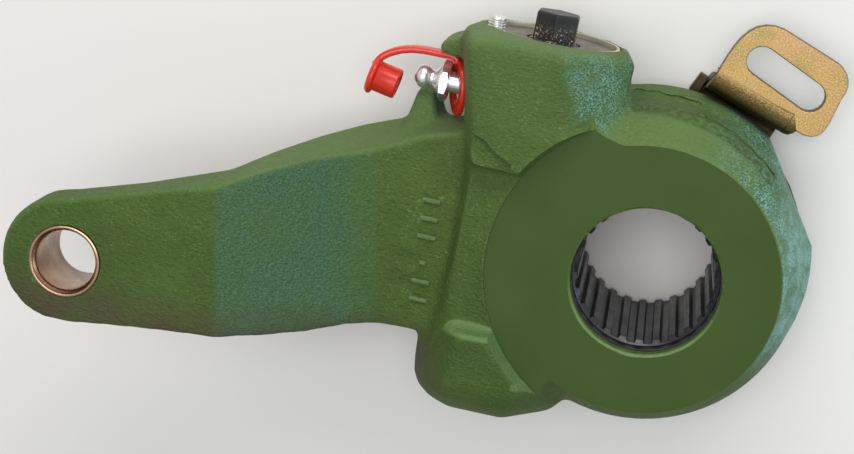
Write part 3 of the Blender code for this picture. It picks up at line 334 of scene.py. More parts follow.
# Inside the parting line the skin is coarse and dark, outside it is smooth and somewhat darker.
from_hub_x = maths(cast_paint, "ADD", x, 1.2 * MM)
from_hub = maths(cast_paint, "SQRT", maths(
    cast_paint, "ADD", maths(cast_paint, "MULTIPLY", from_hub_x, from_hub_x), maths(cast_paint, "MULTIPLY", y, y),
))
hub_bearing = maths(cast_paint, "ARCTAN2", y, from_hub_x)
from_line = maths(cast_paint, "SUBTRACT", from_hub, band(
    cast_paint, hub_bearing, radians(47), radians(106), 42.8 * MM, 45.5 * MM,
))
on_shoulder = maths(cast_paint, "MULTIPLY", band(cast_paint, z, 26 * MM, 28 * MM), band(cast_paint, hub_bearing, radians(38), radians(50)))
on_shoulder = maths(cast_paint, "MULTIPLY", on_shoulder, band(cast_paint, hub_bearing, radians(112), radians(106)))
coarse = maths(cast_paint, "MULTIPLY", band(cast_paint, from_line, -2.8 * MM, -2.0 * MM), band(cast_paint, from_line, 0.4 * MM, 0))
coarse = maths(cast_paint, "MULTIPLY", coarse, on_shoulder)
outer_rim = maths(cast_paint, "MULTIPLY", band(cast_paint, from_line, 0.1 * MM, 0.5 * MM), on_shoulder)
clods = noise(cast_paint, 620, 3)
cast_colour = blend(cast_paint, maths(cast_paint, "MULTIPLY", coarse, band(cast_paint, clods, 0.62, 0.42, 0.25, 0.8)),
                    cast_colour, CAST_GREEN_DARK_AND_SHADE)
cast_colour = blend(cast_paint, maths(cast_paint, "MULTIPLY", outer_rim, 0.35), cast_colour, CAST_GREEN_DARK_AND_SHADE)
# Painted highlights: walls of the pocket and the bore's lip that face the hexagon's side, towards the window lamp, are
# paler.
pocket_wall_highlight = maths(cast_paint, "MULTIPLY", band(cast_paint, facing[1], 0.25, 0.5), band(cast_paint, z, 50.2 * MM, 50.5 * MM))
pocket_wall_highlight = maths(cast_paint, "MULTIPLY", pocket_wall_highlight, band(cast_paint, z, 57.2 * MM, 56.9 * MM))
pocket_wall_highlight = maths(cast_paint, "MULTIPLY", pocket_wall_highlight, band(cast_paint, x, -12 * MM, -16 * MM))
pocket_wall_highlight = maths(cast_paint, "MULTIPLY", pocket_wall_highlight, band(cast_paint, x, -60 * MM, -57 * MM))
pocket_wall_highlight = maths(cast_paint, "MULTIPLY", pocket_wall_highlight, band(cast_paint, y, 0, -8 * MM))
bore_lip_highlight = maths(cast_paint, "MULTIPLY", band(cast_paint, reach, 22 * MM, 21 * MM), band(cast_paint, z, 48.2 * MM, 49.0 * MM))
bore_lip_highlight = maths(cast_paint, "MULTIPLY", bore_lip_highlight, band(cast_paint, facing[1], 0.08, 0.4))
cast_colour = blend(cast_paint, maths(cast_paint, "MAXIMUM", maths(cast_paint, "MULTIPLY", pocket_wall_highlight, 0.75), bore_lip_highlight),
                    cast_colour, CAST_GREEN_PALE_AND_HIGHLIGHT)
# Painted shade: the milled face takes the darker milled greens.
shaded_milled_colour = blend(cast_paint, band(cast_paint, patches, 0.3, 0.7), MILLED_GREEN, MILLED_GREEN_WORN)
coloured(cast_paint, blend(cast_paint, milled, cast_colour, shaded_milled_colour))
roughened(cast_paint, band(cast_paint, maths(cast_paint, "ADD", milled, pebbles), 0.3, 1.6, 0.66, 0.52))
bumped(
    cast_paint,
    (maths(cast_paint, "MULTIPLY", clods, coarse), 0.9 * MM, 1.0),
    (maths(cast_paint, "MULTIPLY", lumps, rough_skin), 0.7 * MM, 0.25),
    (maths(cast_paint, "MULTIPLY", pebbles, rough_skin), 0.58 * MM, 1.0),
    (maths(cast_paint, "MULTIPLY", fine_pebbles, rough_skin), 0.22 * MM, 1.0),
    (noise(cast_paint, 2600, 2), 0.03 * MM, 0.3),
)
shader_of(cast_paint).inputs["Specular IOR Level"].default_value = 0.26
print("cast paint has", len(cast_paint.node_tree.nodes), "nodes")

# %% [markdown]
# ## Metals, rubber and plastic
# Plain metals differ mostly in colour and in how their surface scatters light. One function makes them all from
# a base colour, a cloudier second colour and the size of their grain, so the list below reads like a shop's
# list of finishes. The yellow zinc sheet and the red cap have more going on and follow by themselves.
# %% Metal finishes


def metal(name, colour, cloud, roughness, grain_scale, grain_depth, stretch=(1, 1, 1), metallic=1.0):
    made = new_finish(name, colour, roughness, metallic)
    clouds = noise(made, 160, 4)
    grain = noise(made, grain_scale, 3, stretch)
    coloured(made, blend(made, band(made, clouds, 0.3, 0.7), colour, cloud))
    roughened(made, band(made, maths(made, "ADD", clouds, grain), 0.6, 1.4, roughness * 0.75, roughness * 1.3))
    bumped(made, (grain, grain_depth * MM, 0.5))
    return made


LENGTHWISE = (0.08, 0.08, 1)
UPRIGHT_LINES = (1, 1, 0.03)
black_steel = metal("black_steel", (0.060, 0.060, 0.066), (0.030, 0.030, 0.034), 0.36, 1400, 0.04, UPRIGHT_LINES, 0.75)
black_hexagon = metal("black_hexagon", (0.016, 0.015, 0.016), (0.036, 0.034, 0.032), 0.46, 520, 0.35, (1, 1, 1), 0.3)
ground_steel = metal("ground_steel", (0.50, 0.50, 0.51), (0.36, 0.36, 0.37), 0.26, 1800, 0.02)
spring_steel = metal("spring_steel", (0.34, 0.33, 0.33), (0.22, 0.21, 0.20), 0.32, 1500, 0.02)
bright_zinc = metal("bright_zinc", (0.86, 0.85, 0.84), (0.70, 0.69, 0.69), 0.27, 900, 0.02, metallic=0.85)
plate_zinc = metal("plate_zinc", (0.60, 0.62, 0.64), (0.44, 0.46, 0.48), 0.36, 700, 0.03)
cover_metal = metal("cover_metal", (0.26, 0.23, 0.185), (0.17, 0.155, 0.13), 0.44, 1200, 0.04)
bush_bronze = metal("bush_bronze", (0.50, 0.33, 0.22), (0.34, 0.22, 0.145), 0.24, 1100, 0.04)


def greased(finish, axis_x, axis_z, near, far, low_y, high_y, amount):
    """Cream and yellow crumbs of grease round an axis along Y, between two radii and two heights."""
    place = parts_of_place(finish)
    across = maths(finish, "SUBTRACT", place[0], axis_x * MM)
    upright = maths(finish, "SUBTRACT", place[2], axis_z * MM)
    spread = maths(finish, "SQRT", maths(
        finish, "ADD", maths(finish, "MULTIPLY", across, across), maths(finish, "MULTIPLY", upright, upright),
    ))
    where = maths(finish, "MULTIPLY", band(finish, spread, far * MM, near * MM), band(finish, place[1], high_y * MM, low_y * MM))
    crumbs = maths(finish, "MULTIPLY", band(finish, noise(finish, 1900, 3), 0.58, 0.66), where)
    colour = shader_of(finish).inputs["Base Color"].links[0].from_socket
    tint = blend(finish, noise(finish, 400, 2), (0.62, 0.52, 0.22), (0.80, 0.77, 0.70))
    coloured(finish, blend(finish, maths(finish, "MULTIPLY", crumbs, amount), colour, tint))
    return spread


greased(black_hexagon, -37.5, 24.0, 9.0, 14.0, 54.0, 58.5, 0.85)
from_hexagon = greased(cover_metal, -37.5, 24.0, 6.5, 10.5, 53.2, 53.6, 0.9)
plain = shader_of(cover_metal).inputs["Base Color"].links[0].from_socket
coloured(cover_metal, blend(cover_metal, band(cover_metal, from_hexagon, 16.9 * MM, 17.2 * MM), plain, (0.66, 0.64, 0.46)))


def dull(name, colour, cloud, roughness, grain_scale, grain_depth):
    """Rubber and gasket sheet."""
    return metal(name, colour, cloud, roughness, grain_scale, grain_depth, metallic=0.0)


seal_rubber = dull("seal_rubber", (0.020, 0.020, 0.021), (0.032, 0.031, 0.030), 0.55, 1300, 0.03)
gasket_sheet = dull("gasket_sheet", (0.040, 0.038, 0.036), (0.060, 0.055, 0.050), 0.80, 900, 0.06)
print("metals and rubbers ready")

# %% [markdown]
# ## Yellow zinc and red plastic
# Yellow passivation is a film over zinc that shifts from straw to rose to green, with a fine sparkle of crystals.
# Two slow noises choose between the three tints, and a very fine one moves the gloss. The cap is moulded in a
# glossy soft plastic, so it gets a little light inside it and a faint orange-peel skin.
# %% Yellow zinc and red plastic
STRAW = (0.42, 0.275, 0.095)
ROSE = (0.44, 0.25, 0.13)
OLIVE = (0.25, 0.21, 0.065)
DARK_ZINC_AND_SHADE = (0.030, 0.021, 0.008)
yellow_zinc = new_finish("yellow_zinc", STRAW, 0.4, 0.7)
rose_zones = band(yellow_zinc, noise(yellow_zinc, 55, 3), 0.45, 0.68)
olive_zones = band(yellow_zinc, noise(yellow_zinc, 80, 3, (1, 1.3, 1)), 0.50, 0.72)
sparkle = noise(yellow_zinc, 2300, 4)
zinc_colour = blend(yellow_zinc, rose_zones, STRAW, ROSE)
zinc_colour = blend(yellow_zinc, olive_zones, zinc_colour, OLIVE)
zinc_colour = blend(yellow_zinc, band(yellow_zinc, sparkle, 0.52, 0.66, 0.0, 0.75), zinc_colour, (0.66, 0.50, 0.26))
zinc_colour = blend(yellow_zinc, band(yellow_zinc, sparkle, 0.47, 0.36, 0.0, 0.75), zinc_colour, (0.24, 0.15, 0.050))
height = parts_of_place(yellow_zinc)[2]
lying = node(yellow_zinc, "SeparateXYZ", Vector=node(yellow_zinc, "TexCoord").outputs["Normal"]).outputs[2]
# Upright faces and cut edges of the sheet are darker, and painted shade darkens the bend as it curves down towards the
# hub.
cut_edge = band(yellow_zinc, maths(yellow_zinc, "ABSOLUTE", lying), 0.35, 0.75, 0.75, 0.0)
bend_shade = band(yellow_zinc, height, 19.95 * MM, 17.4 * MM, 0.0, 0.96)
zinc_colour = blend(yellow_zinc, maths(yellow_zinc, "MAXIMUM", cut_edge, bend_shade), zinc_colour, DARK_ZINC_AND_SHADE)
coloured(yellow_zinc, zinc_colour)
roughened(yellow_zinc, band(yellow_zinc, sparkle, 0.35, 0.7, 0.36, 0.58))
bumped(yellow_zinc, (sparkle, 0.08 * MM, 0.5))

red_plastic = new_finish("red_plastic", (0.72, 0.035, 0.018), 0.26)
mould_flow = noise(red_plastic, 120, 3)
coloured(red_plastic, blend(red_plastic, band(red_plastic, mould_flow, 0.3, 0.7), (0.76, 0.036, 0.016), (0.64, 0.022, 0.010)))
roughened(red_plastic, band(red_plastic, noise(red_plastic, 600, 2), 0.3, 0.7, 0.20, 0.34))
bumped(red_plastic, (noise(red_plastic, 420, 2), 0.08 * MM, 0.3))
shader_of(red_plastic).inputs["Subsurface Weight"].default_value = 0.15
shader_of(red_plastic).inputs["Subsurface Radius"].default_value = (0.0012, 0.0003, 0.0003)
shader_of(red_plastic).inputs["Subsurface Scale"].default_value = 1.0
print("yellow zinc and red plastic ready")

# %% [markdown]
# ## Dress the inner pieces
# Springs, races, the clutch train and the rack sit out of sight, and their solids already have the right shape.
# They keep their own meshes and only take a finish.
# %% Inner pieces
INNER_FINISHES = {
    "main_spring": spring_steel,
    "clutch_spring": spring_steel,
    "rack_spring": spring_steel,
    "nipple_spring": spring_steel,
    "inner_thrust_race": ground_steel,
    "outer_thrust_race": ground_steel,
    "thrust_cage": ground_steel,
    "clutch_wheel": ground_steel,
    "pinion": ground_steel,
    "rack": ground_steel,
    "control_disc": ground_steel,
    "nipple_ball": ground_steel,
    "worm_bush": bush_bronze,
    "cover_o_ring": seal_rubber,
    "worm_seal": seal_rubber,
    "front_o_ring": seal_rubber,
    "rear_o_ring": seal_rubber,
    "cover_gasket": gasket_sheet,
    "cover_plate": plate_zinc,
    "control_arm": yellow_zinc,
    "lever_bush": bush_bronze,
    "worm_wheel": black_steel,
    "worm_screw": black_hexagon,
    "end_cover": cover_metal,
    "lock_screw": bright_zinc,
    "grease_nipple": bright_zinc,
    "nipple_cap": red_plastic,
}


def dress(thing, finish):
    thing.data.materials.clear()
    thing.data.materials.append(finish)


for name, finish in INNER_FINISHES.items():
    dress(nodes[name], finish)
for name in nodes:
    if name.startswith("cover_screw"):
        dress(nodes[name], plate_zinc)
print("dressed", len(INNER_FINISHES), "solids")

# %% [markdown]
# ## Mesh helpers
# `settled` replaces an object's modifiers by their result. `smooth_shaded` makes round faces look round and
# keeps true corners crisp. `dressed_piece` gives a new piece its finish, attaches it to the body it moves with and
# hides the solid it stands for.
# %% Mesh helpers


def link(name, mesh):
    made = bpy.data.objects.new(name, mesh)
    bpy.context.scene.collection.objects.link(made)
    return made


def settled(thing):
    bpy.context.view_layer.update()
    evaluated = thing.evaluated_get(bpy.context.evaluated_depsgraph_get())
    mesh = bpy.data.meshes.new_from_object(evaluated)
    thing.modifiers.clear()
    thing.data = mesh
    return thing


def smooth_shaded(thing, corner=32):
    thing.data.shade_smooth()
    thing.data.set_sharp_from_angle(angle=radians(corner))
    return thing


def carve(thing, cutter, operation="DIFFERENCE", solver="EXACT"):
    step = thing.modifiers.new("carve", "BOOLEAN")
    step.operation = operation
    step.solver = solver
    step.object = cutter
    settled(thing)
    bpy.data.objects.remove(cutter, do_unlink=True)
    return thing


def points_of(mesh):
    flat = np.empty(len(mesh.vertices) * 3)
    mesh.vertices.foreach_get("co", flat)
    return flat.reshape(-1, 3)


def set_points(mesh, points):
    mesh.vertices.foreach_set("co", points.ravel())
    mesh.update()


def dressed_piece(thing, body, finish, *stands_for):
    dress(thing, finish)
    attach(thing, body)
    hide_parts(*stands_for)
    return thing


def place_along(axis, at):
    """A placement at a point in millimetres whose local Z runs along the axis."""
    turn = Vector((0, 0, 1)).rotation_difference(Vector(axis)).to_matrix().to_4x4()
    return Matrix.Translation(Vector(at) * MM) @ turn


def turned(name, profile, place=Matrix.Identity(4), steps=128):
    """A profile of (radius, height) points, outer side top to bottom, turned round the local Z axis."""
    closed = profile[0][0] > 0 or profile[-1][0] > 0
    edges = [(i, i + 1) for i in range(len(profile) - 1)]
    if closed:
        edges.append((len(profile) - 1, 0))
    mesh = bpy.data.meshes.new(name)
    mesh.from_pydata([(r * MM, 0, h * MM) for r, h in profile], edges, [])
    made = link(name, mesh)
    screw = made.modifiers.new("turn", "SCREW")
    screw.steps = steps
    screw.render_steps = steps
    screw.use_merge_vertices = True
    screw.merge_threshold = 0.00001
    settled(made)
    made.data.transform(place)
    return made


def between(points, steps):
    """A smooth line through the points (Catmull-Rom)."""
    line = []
    for i in range(len(points) - 1):
        p0, p1, p2, p3 = (Vector(points[min(max(i + k, 0), len(points) - 1)]) for k in (-1, 0, 1, 2))
        for k in range(steps):
            t = k / steps
            line.append(0.5 * (2 * p1 + (p2 - p0) * t + (2 * p0 - 5 * p1 + 4 * p2 - p3) * t * t
                               + (3 * p1 - 3 * p2 + p3 - p0) * t ** 3))
    return line + [Vector(points[-1])]


print("mesh helpers ready")

# %% [markdown]
# ## The casting
# The solid has the right form but sharp joints between its blocks. A real casting leaves its mould with every
# edge rounded and every inner corner filled, and only then is it machined. The same order works here: remesh
# the solid into even small faces, put back a little metal where a tool will cut, round the edges, fill the
# corners, and then cut the face, the bores and the seat again so that only they are crisp.
# %% Casting: even mesh
VOXEL = 0.94
WORM_AXIS = (-37.5, 24.0)
BUSH_AXIS = (-148.15, -23.47)
SEAT_R = 18.3
LIP_R = 19.7
BUSH_BORE_R = 9.25
MILL_WALL = ((50.0, 42.2, 0.1), (57.0, 43.9, 0.85), (59.0, 44.3, 1.0))

casting = link("casting", nodes["housing"].data.copy())
weld = casting.modifiers.new("weld", "WELD")
weld.merge_threshold = 0.000002
remesh = casting.modifiers.new("even", "REMESH")
remesh.mode = "VOXEL"
remesh.voxel_size = VOXEL * MM
settled(casting)
print("casting has", len(casting.data.polygons), "even faces")

# %% Casting: put back the machining allowance
ALLOWANCE = 1.0
ARM_END_R = 17.15
NEAR = 0.75

skin = points_of(casting.data) / MM
reach = np.hypot(skin[:, 0], skin[:, 1])
from_worm = np.hypot(skin[:, 0] - WORM_AXIS[0], skin[:, 2] - WORM_AXIS[1])
from_bush = np.hypot(skin[:, 0] - BUSH_AXIS[0], skin[:, 1] - BUSH_AXIS[1])


def pull_in(points, chosen, distance, axis_point, plane):
    """Moves the chosen points towards an axis that stands across the plane."""
    for k, centre in zip(plane, axis_point):
        offset = points[chosen, k] - centre
        points[chosen, k] = centre + offset * (1 - ALLOWANCE / distance[chosen])


on_face = (abs(skin[:, 2] - FACE_Z) < 0.4) & (reach < FACE_MILL_R - 0.2) & (reach > LIP_R + 1.6)
wall_z, wall_r, wall_y = zip(*MILL_WALL)
wall_here = np.interp(skin[:, 2], wall_z, wall_r)
from_mill = np.hypot(skin[:, 0], skin[:, 1] - np.interp(skin[:, 2], wall_z, wall_y))
on_riser = (abs(from_mill - wall_here) < NEAR) & (skin[:, 2] > FACE_Z + 0.6)
on_lip = (reach < LIP_R + 1.6) & (skin[:, 2] > 46.3)
on_seat = (abs(from_worm - SEAT_R) < NEAR) & (skin[:, 1] > 49.8)
on_bush_bore = from_bush < BUSH_BORE_R + NEAR
pull_in(skin, on_riser, reach, (0, 0), (0, 1))
pull_in(skin, on_lip, reach, (0, 0), (0, 1))
pull_in(skin, on_seat, from_worm, WORM_AXIS, (0, 2))
pull_in(skin, on_bush_bore, from_bush, BUSH_AXIS, (0, 1))
on_arm_end = (from_bush > ARM_END_R - 0.8) & (skin[:, 0] < BUSH_AXIS[0] - 1)
outward = (ARM_END_R / from_bush[on_arm_end] - 1) * np.interp(skin[on_arm_end, 0], (-155, BUSH_AXIS[0] - 1), (1, 0))
for k in (0, 1):
    skin[on_arm_end, k] += (skin[on_arm_end, k] - BUSH_AXIS[k]) * outward
skin[on_face, 2] += ALLOWANCE

# The cast shelf left of the milled face is almost level with it.
on_shelf = (abs(skin[:, 2] - FACE_Z - 0.5) < 0.4) & (reach > FACE_MILL_R - 1) & (skin[:, 0] < 0)
skin[on_shelf, 2] -= 0.42

# The hub's shoulder is fuller towards the upper boss.
bearing = np.degrees(np.arctan2(skin[:, 1], skin[:, 0]))
fuller = np.interp(bearing, (38, 56, 112, 124), (0, 1, 1, 0)) * np.interp(skin[:, 2], (27, 36, 43.5, 49.6), (0, 1, 1, 0))
fuller *= 2.3 * np.interp(reach, (34, 38, 50, 54), (0, 1, 1, 0))
skin[:, :2] *= (1 + fuller / np.maximum(reach, 1))[:, None]
print("allowance on", int(on_face.sum() + on_riser.sum() + on_lip.sum()), "points of the hub")

# %% Casting: rounded edges and filled corners
ROUND_PASSES = 3
FILL_PASSES = 9

edge_ends = np.empty(len(casting.data.edges) * 2, np.int64)
casting.data.edges.foreach_get("vertices", edge_ends)
edge_ends = edge_ends.reshape(-1, 2)
neighbour_count = np.bincount(edge_ends.ravel(), minlength=len(skin))


def pull_of_neighbours(points):
    """For each point, the way to the middle of its neighbours."""
    middle = np.empty_like(points)
    for k in range(3):
        from_first = np.bincount(edge_ends[:, 1], points[edge_ends[:, 0], k], len(points))
        from_second = np.bincount(edge_ends[:, 0], points[edge_ends[:, 1], k], len(points))
        middle[:, k] = (from_first + from_second) / neighbour_count
    return middle - points


def normals_of(mesh, points):
    set_points(mesh, points * MM)
    flat = np.empty(len(mesh.vertices) * 3)
    mesh.vertex_normals.foreach_get("vector", flat)
    return flat.reshape(-1, 3)


worm_room_r = np.where(skin[:, 1] > 49, 18.9, np.where(skin[:, 1] > -20.5, 15.7, np.where(skin[:, 1] > -39.2, 12.1, 8.4)))
inside = ((reach < 32) & (skin[:, 2] < 49.0)) | (from_worm < worm_room_r)
for _ in range(ROUND_PASSES):
    skin += 0.5 * pull_of_neighbours(skin)
# The upper boss has a full round along its left side.
full_round = (skin[:, 0] < -49) & (skin[:, 0] > -60) & (skin[:, 1] > 26) & (skin[:, 2] > 44)
for _ in range(14):
    pull = pull_of_neighbours(skin)
    skin[full_round] += 0.5 * pull[full_round]
for _ in range(FILL_PASSES):
    pull = pull_of_neighbours(skin)
    hollow = np.einsum("ij,ij->i", pull, normals_of(casting.data, skin))
    filling = (hollow > 0) & ~inside
    skin[filling] += 0.5 * pull[filling]
skin += 0.5 * pull_of_neighbours(skin)
set_points(casting.data, skin * MM)
print("filled", int(filling.sum()), "points of inner corners")

# %% Casting: cut the face, the bore, the seat and the pin hole


def stacked(name, rings, steps=192):
    """A closed body through level circles of (height, radius, centre y), the highest first."""
    mesh = bmesh.new()
    loops = []
    for height, radius, centre_y in rings:
        loops.append([
            mesh.verts.new(Vector((radius * cos(2 * pi * k / steps), centre_y + radius * sin(2 * pi * k / steps), height)) * MM)
            for k in range(steps)
        ])
    for upper, lower in zip(loops, loops[1:]):
        for k in range(steps):
            mesh.faces.new((upper[k - 1], lower[k - 1], lower[k], upper[k]))
    mesh.faces.new(loops[0])
    mesh.faces.new(loops[-1][::-1])
    made = bpy.data.meshes.new(name)
    mesh.to_mesh(made)
    mesh.free()
    return link(name, made)


milled_space = stacked("milled_space", [
    (60, 44.5, 1.0), *reversed(MILL_WALL), (FACE_Z, LIP_R + 0.55, 0), (FACE_Z - 0.55, LIP_R, 0), (44, LIP_R, 0),
])
seat_space = turned("seat_space", [
    (0, 62), (SEAT_R + 1.9, 62), (SEAT_R + 1.9, 58), (SEAT_R, 54.1), (SEAT_R, 49.4), (0, 49.4),
], place_along((0, 1, 0), (WORM_AXIS[0], 0, WORM_AXIS[1])), 160)
pin_space = turned("pin_space", [(0, 80), (9.75, 80), (9.75, 68.4), (BUSH_BORE_R, 68.3), (BUSH_BORE_R, 40), (0, 40)],
                   place_along((0, 0, 1), (*BUSH_AXIS, 0)), 96)
LIP_CUT = (34, 41.9)
flat_space = link("flat_space", bpy.data.meshes.new("flat_space"))
flat_mesh = bmesh.new()
bmesh.ops.create_cube(flat_mesh, size=1)
bmesh.ops.scale(flat_mesh, vec=Vector((20, 70, 80)) * MM, verts=flat_mesh.verts)
bmesh.ops.translate(flat_mesh, vec=Vector((LIP_CUT[1] + 10, 0, 20)) * MM, verts=flat_mesh.verts)
bmesh.ops.rotate(flat_mesh, matrix=Matrix.Rotation(radians(LIP_CUT[0]), 3, "Z"), verts=flat_mesh.verts)
flat_mesh.to_mesh(flat_space.data)
flat_mesh.free()
STEP_OUTLINE = [
    (-64, 30.1), (-50.7, 30.0), (-48, 29.3), (-46.1, 27.7), (-44.2, 26.4), (-40, 24.2), (-40, 18), (-64, 18),
]
step_space = link("step_space", bpy.data.meshes.new("step_space"))
step_mesh = bmesh.new()
low_ring, high_ring = ([step_mesh.verts.new(Vector((x_at, y_at, z_at)) * MM) for x_at, y_at in STEP_OUTLINE]
                       for z_at in (55.5, 60.0))
step_mesh.faces.new(low_ring)
step_mesh.faces.new(high_ring[::-1])
for k in range(len(STEP_OUTLINE)):
    step_mesh.faces.new((low_ring[k - 1], high_ring[k - 1], high_ring[k], low_ring[k]))
bmesh.ops.recalc_face_normals(step_mesh, faces=step_mesh.faces)
step_mesh.to_mesh(step_space.data)
step_mesh.free()


def box_space(name, low, high):
    """A plain box between two corners."""
    made = link(name, bpy.data.meshes.new(name))
    mesh = bmesh.new()
    bmesh.ops.create_cube(mesh, size=1)
    bmesh.ops.scale(mesh, vec=(Vector(high) - Vector(low)) * MM, verts=mesh.verts)
    bmesh.ops.translate(mesh, vec=(Vector(high) + Vector(low)) / 2 * MM, verts=mesh.verts)
    mesh.to_mesh(made.data)
    mesh.free()
    return made


rack_space = box_space("rack_space", (-51.6, -37.6, 8.9), (13.0, -30.4, 18.0))
rack_mouth_space = box_space("rack_mouth_space", (-20, -37.6, 5.0), (13.0, -30.4, 9.3))
strip_space = box_space("strip_space", (-4.8, 43.6, 5.0), (-3.0, 47.0, 10.6))
ring_spaces = [
    turned("ring_space", [(4.4, 1.2), (8.5, 1.2), (8.5, -1.2), (4.4, -1.2)], place_along(
        Matrix.Rotation(radians(tilt), 3, "X") @ Vector((-1, -0.15, 0.36)),
        Vector((-60, 37.2, 29)) + Matrix.Rotation(radians(tilt), 3, "X") @ Vector((0, -0.8, 0)),
    ), 96)
    for tilt in (-26, -20, -14, -8)
]
for cutter in (milled_space, seat_space, pin_space, flat_space, step_space, rack_space, rack_mouth_space, strip_space,
               *ring_spaces):
    carve(casting, cutter, solver="MANIFOLD")

# %% [markdown]
# ## Foundry marks and the parting line
# Two things break the skin of the raw casting: raised marks on the root of the arm, here plain bars and a pip
# instead of any lettering, and a ragged line where the halves of the mould met on the hub's shoulder. The bars
# are added and the line is cut as a narrow groove that follows the skin, whose height is probed with rays.
# %% Casting: marks and parting line
MARKS = [(-59.4, 7.6, 5.2), (-59.2, 2.6, 5.2), (-58.9, -2.4, 5.2), (-58.5, -9.6, 2.0), (-58.2, -14.8, 5.2), (-57.8, -19.8, 5.2)]
HUB_CENTRE = Vector((-1.2, 0))
PARTING = [
    HUB_CENTRE + (42.8 + (angle - 47) / 22) * Vector((cos(radians(angle)), sin(radians(angle))))
    for angle in range(106, 43, -7)
]


def height_at(thing, at_x, at_y):
    hit, spot, _, _ = thing.ray_cast(Vector((at_x, at_y, 80)) * MM, Vector((0, 0, -1)))
    return spot.z / MM if hit else 40.0


for at_x, at_y, length in MARKS:
    bar = bmesh.new()
    bmesh.ops.create_cube(bar, size=1)
    bmesh.ops.scale(bar, vec=Vector((length, 1.3, 3.2)) * MM, verts=bar.verts)
    bmesh.ops.bevel(bar, geom=bar.edges, offset=0.5 * MM, segments=3, affect="EDGES", profile=0.5)
    bmesh.ops.translate(bar, vec=Vector((at_x, at_y, height_at(casting, at_x, at_y) - 0.75)) * MM, verts=bar.verts)
    mark = link("mark", bpy.data.meshes.new("mark"))
    bar.to_mesh(mark.data)
    bar.free()
    carve(casting, mark, "UNION", "MANIFOLD")

line = between(PARTING, 5)
groove = bmesh.new()
rows = []
for i, point in enumerate(line):
    ahead = (line[min(i + 1, len(line) - 1)] - line[max(i - 1, 0)]).normalized()
    side = Vector((-ahead.y, ahead.x))
    middle = point + side * 0.26 * sin(0.9 * i) * cos(0.37 * i)
    half = 0.22 + 0.08 * sin(0.7 * i)
    top = height_at(casting, *middle)
    rows.append([
        groove.verts.new(Vector((middle.x + side.x * a, middle.y + side.y * a, top + b)) * MM)
        for a, b in ((half, 2), (-half, 2), (-half, -0.45), (half, -0.45))
    ])
for before, after in zip(rows, rows[1:]):
    for k in range(4):
        groove.faces.new((before[k - 1], before[k], after[k], after[k - 1]))
groove.faces.new(rows[0][::-1])
groove.faces.new(rows[-1])
bmesh.ops.recalc_face_normals(groove, faces=groove.faces)
parting = link("parting", bpy.data.meshes.new("parting"))
groove.to_mesh(parting.data)
groove.free()
carve(casting, parting, solver="MANIFOLD")
smooth_shaded(casting, 42)
for side in casting.data.polygons:
    if side.normal.z > 0.9999 and abs(side.center.z / MM - FACE_Z) < 0.01:
        side.use_smooth = False
dressed_piece(casting, "casing", cast_paint, "housing")
print("casting has", len(casting.data.polygons), "faces after machining")

# %% [markdown]
# ## Broken edges on cut and pressed pieces
# No cut or pressed edge is truly sharp: a file, a tumbler or the press leaves a small round that catches the
# light. The helper rounds the sharp edges of a solid and keeps its flat faces flat with weighted normals. It
# serves the wheel, the worm with its hexagon, the control arm and the parts on the back.
# %% Pieces with broken edges


def broken_edges(name, body, finish, width, cutter=None, corner=30, segments=2):
    made = link(name + "_finished", nodes[name].data.copy())
    weld = made.modifiers.new("weld", "WELD")
    weld.merge_threshold = 0.000002
    if cutter:
        settled(made)
        carve(made, cutter)
    flats = made.modifiers.new("flats", "DECIMATE")
    flats.decimate_type = "DISSOLVE"
    flats.angle_limit = radians(0.3)
    edges = made.modifiers.new("edges", "BEVEL")
    edges.limit_method = "ANGLE"
    edges.angle_limit = radians(corner)
    edges.width = width * MM
    edges.segments = segments
    edges.use_clamp_overlap = False
    settled(made)
    solid = points_of(nodes[name].data)
    set_points(made.data, np.clip(points_of(made.data), solid.min(axis=0), solid.max(axis=0)))
    made.data.shade_smooth()
    made.data.set_sharp_from_angle(angle=radians(60))
    normals = made.modifiers.new("normals", "WEIGHTED_NORMAL")
    normals.weight = 100
    normals.keep_sharp = True
    settled(made)
    return dressed_piece(made, body, finish, name)


# The free end of the strip is sheared off at a slant.
sheared = bmesh.new()
slant = [Vector(p) for p in ((0.0, 42.1), (3.4, 49.9), (0.6, 52.6), (-6, 46))]
low_ring, high_ring = ([sheared.verts.new(Vector((*p, z_at)) * MM) for p in slant] for z_at in (-1.0, 9.0))
sheared.faces.new(low_ring[::-1])
sheared.faces.new(high_ring)
for k in range(4):
    sheared.faces.new((low_ring[k - 1], low_ring[k], high_ring[k], high_ring[k - 1]))
bmesh.ops.recalc_face_normals(sheared, faces=sheared.faces)
shear = link("shear", bpy.data.meshes.new("shear"))
sheared.to_mesh(shear.data)
sheared.free()
for name, body, finish, width, cutter in (
    ("worm_wheel", "wheel", black_steel, 0.16, None),
    ("worm_screw", "worm", black_hexagon, 0.22, None),
    ("control_arm", "control", yellow_zinc, 0.35, shear),
    ("cover_plate", "casing", plate_zinc, 0.25, None),
    ("cover_gasket", "casing", gasket_sheet, 0.15, None),
):
    made = broken_edges(name, body, finish, width, cutter)
    print(name, "has", len(made.data.polygons), "faces")

# %% [markdown]
# ## Lever bush and the corner of the control arm
# The bush is turned again with a wide lead-in on its bore, which is the bright ring one sees on it; its butt
# joint is pressed shut and doesn't show. At its right end the control arm's bend runs out into the lug in a
# soft corner, so a piece of the same bend with a shrinking angle fills that corner.
# %% Lever bush and corner of the control arm
bush = turned("lever_bush_finished", [
    (9.05, 69.4), (9.3, 69.38), (9.5, 69.28), (9.6, 69.08), (9.6, 68.75), (9.5, 68.6), (8.95, 68.5), (8.95, 50.2),
    (8.6, 49.8), (8.4, 49.8), (8.0, 50.5), (8.0, 67.6), (8.08, 68.0), (8.3, 68.4), (8.6, 68.75), (8.8, 69.1),
    (8.92, 69.33),
], place_along((0, 0, 1), (*BUSH_AXIS, 0)), 128)
dressed_piece(smooth_shaded(bush, 35), "casing", bush_bronze, "lever_bush")

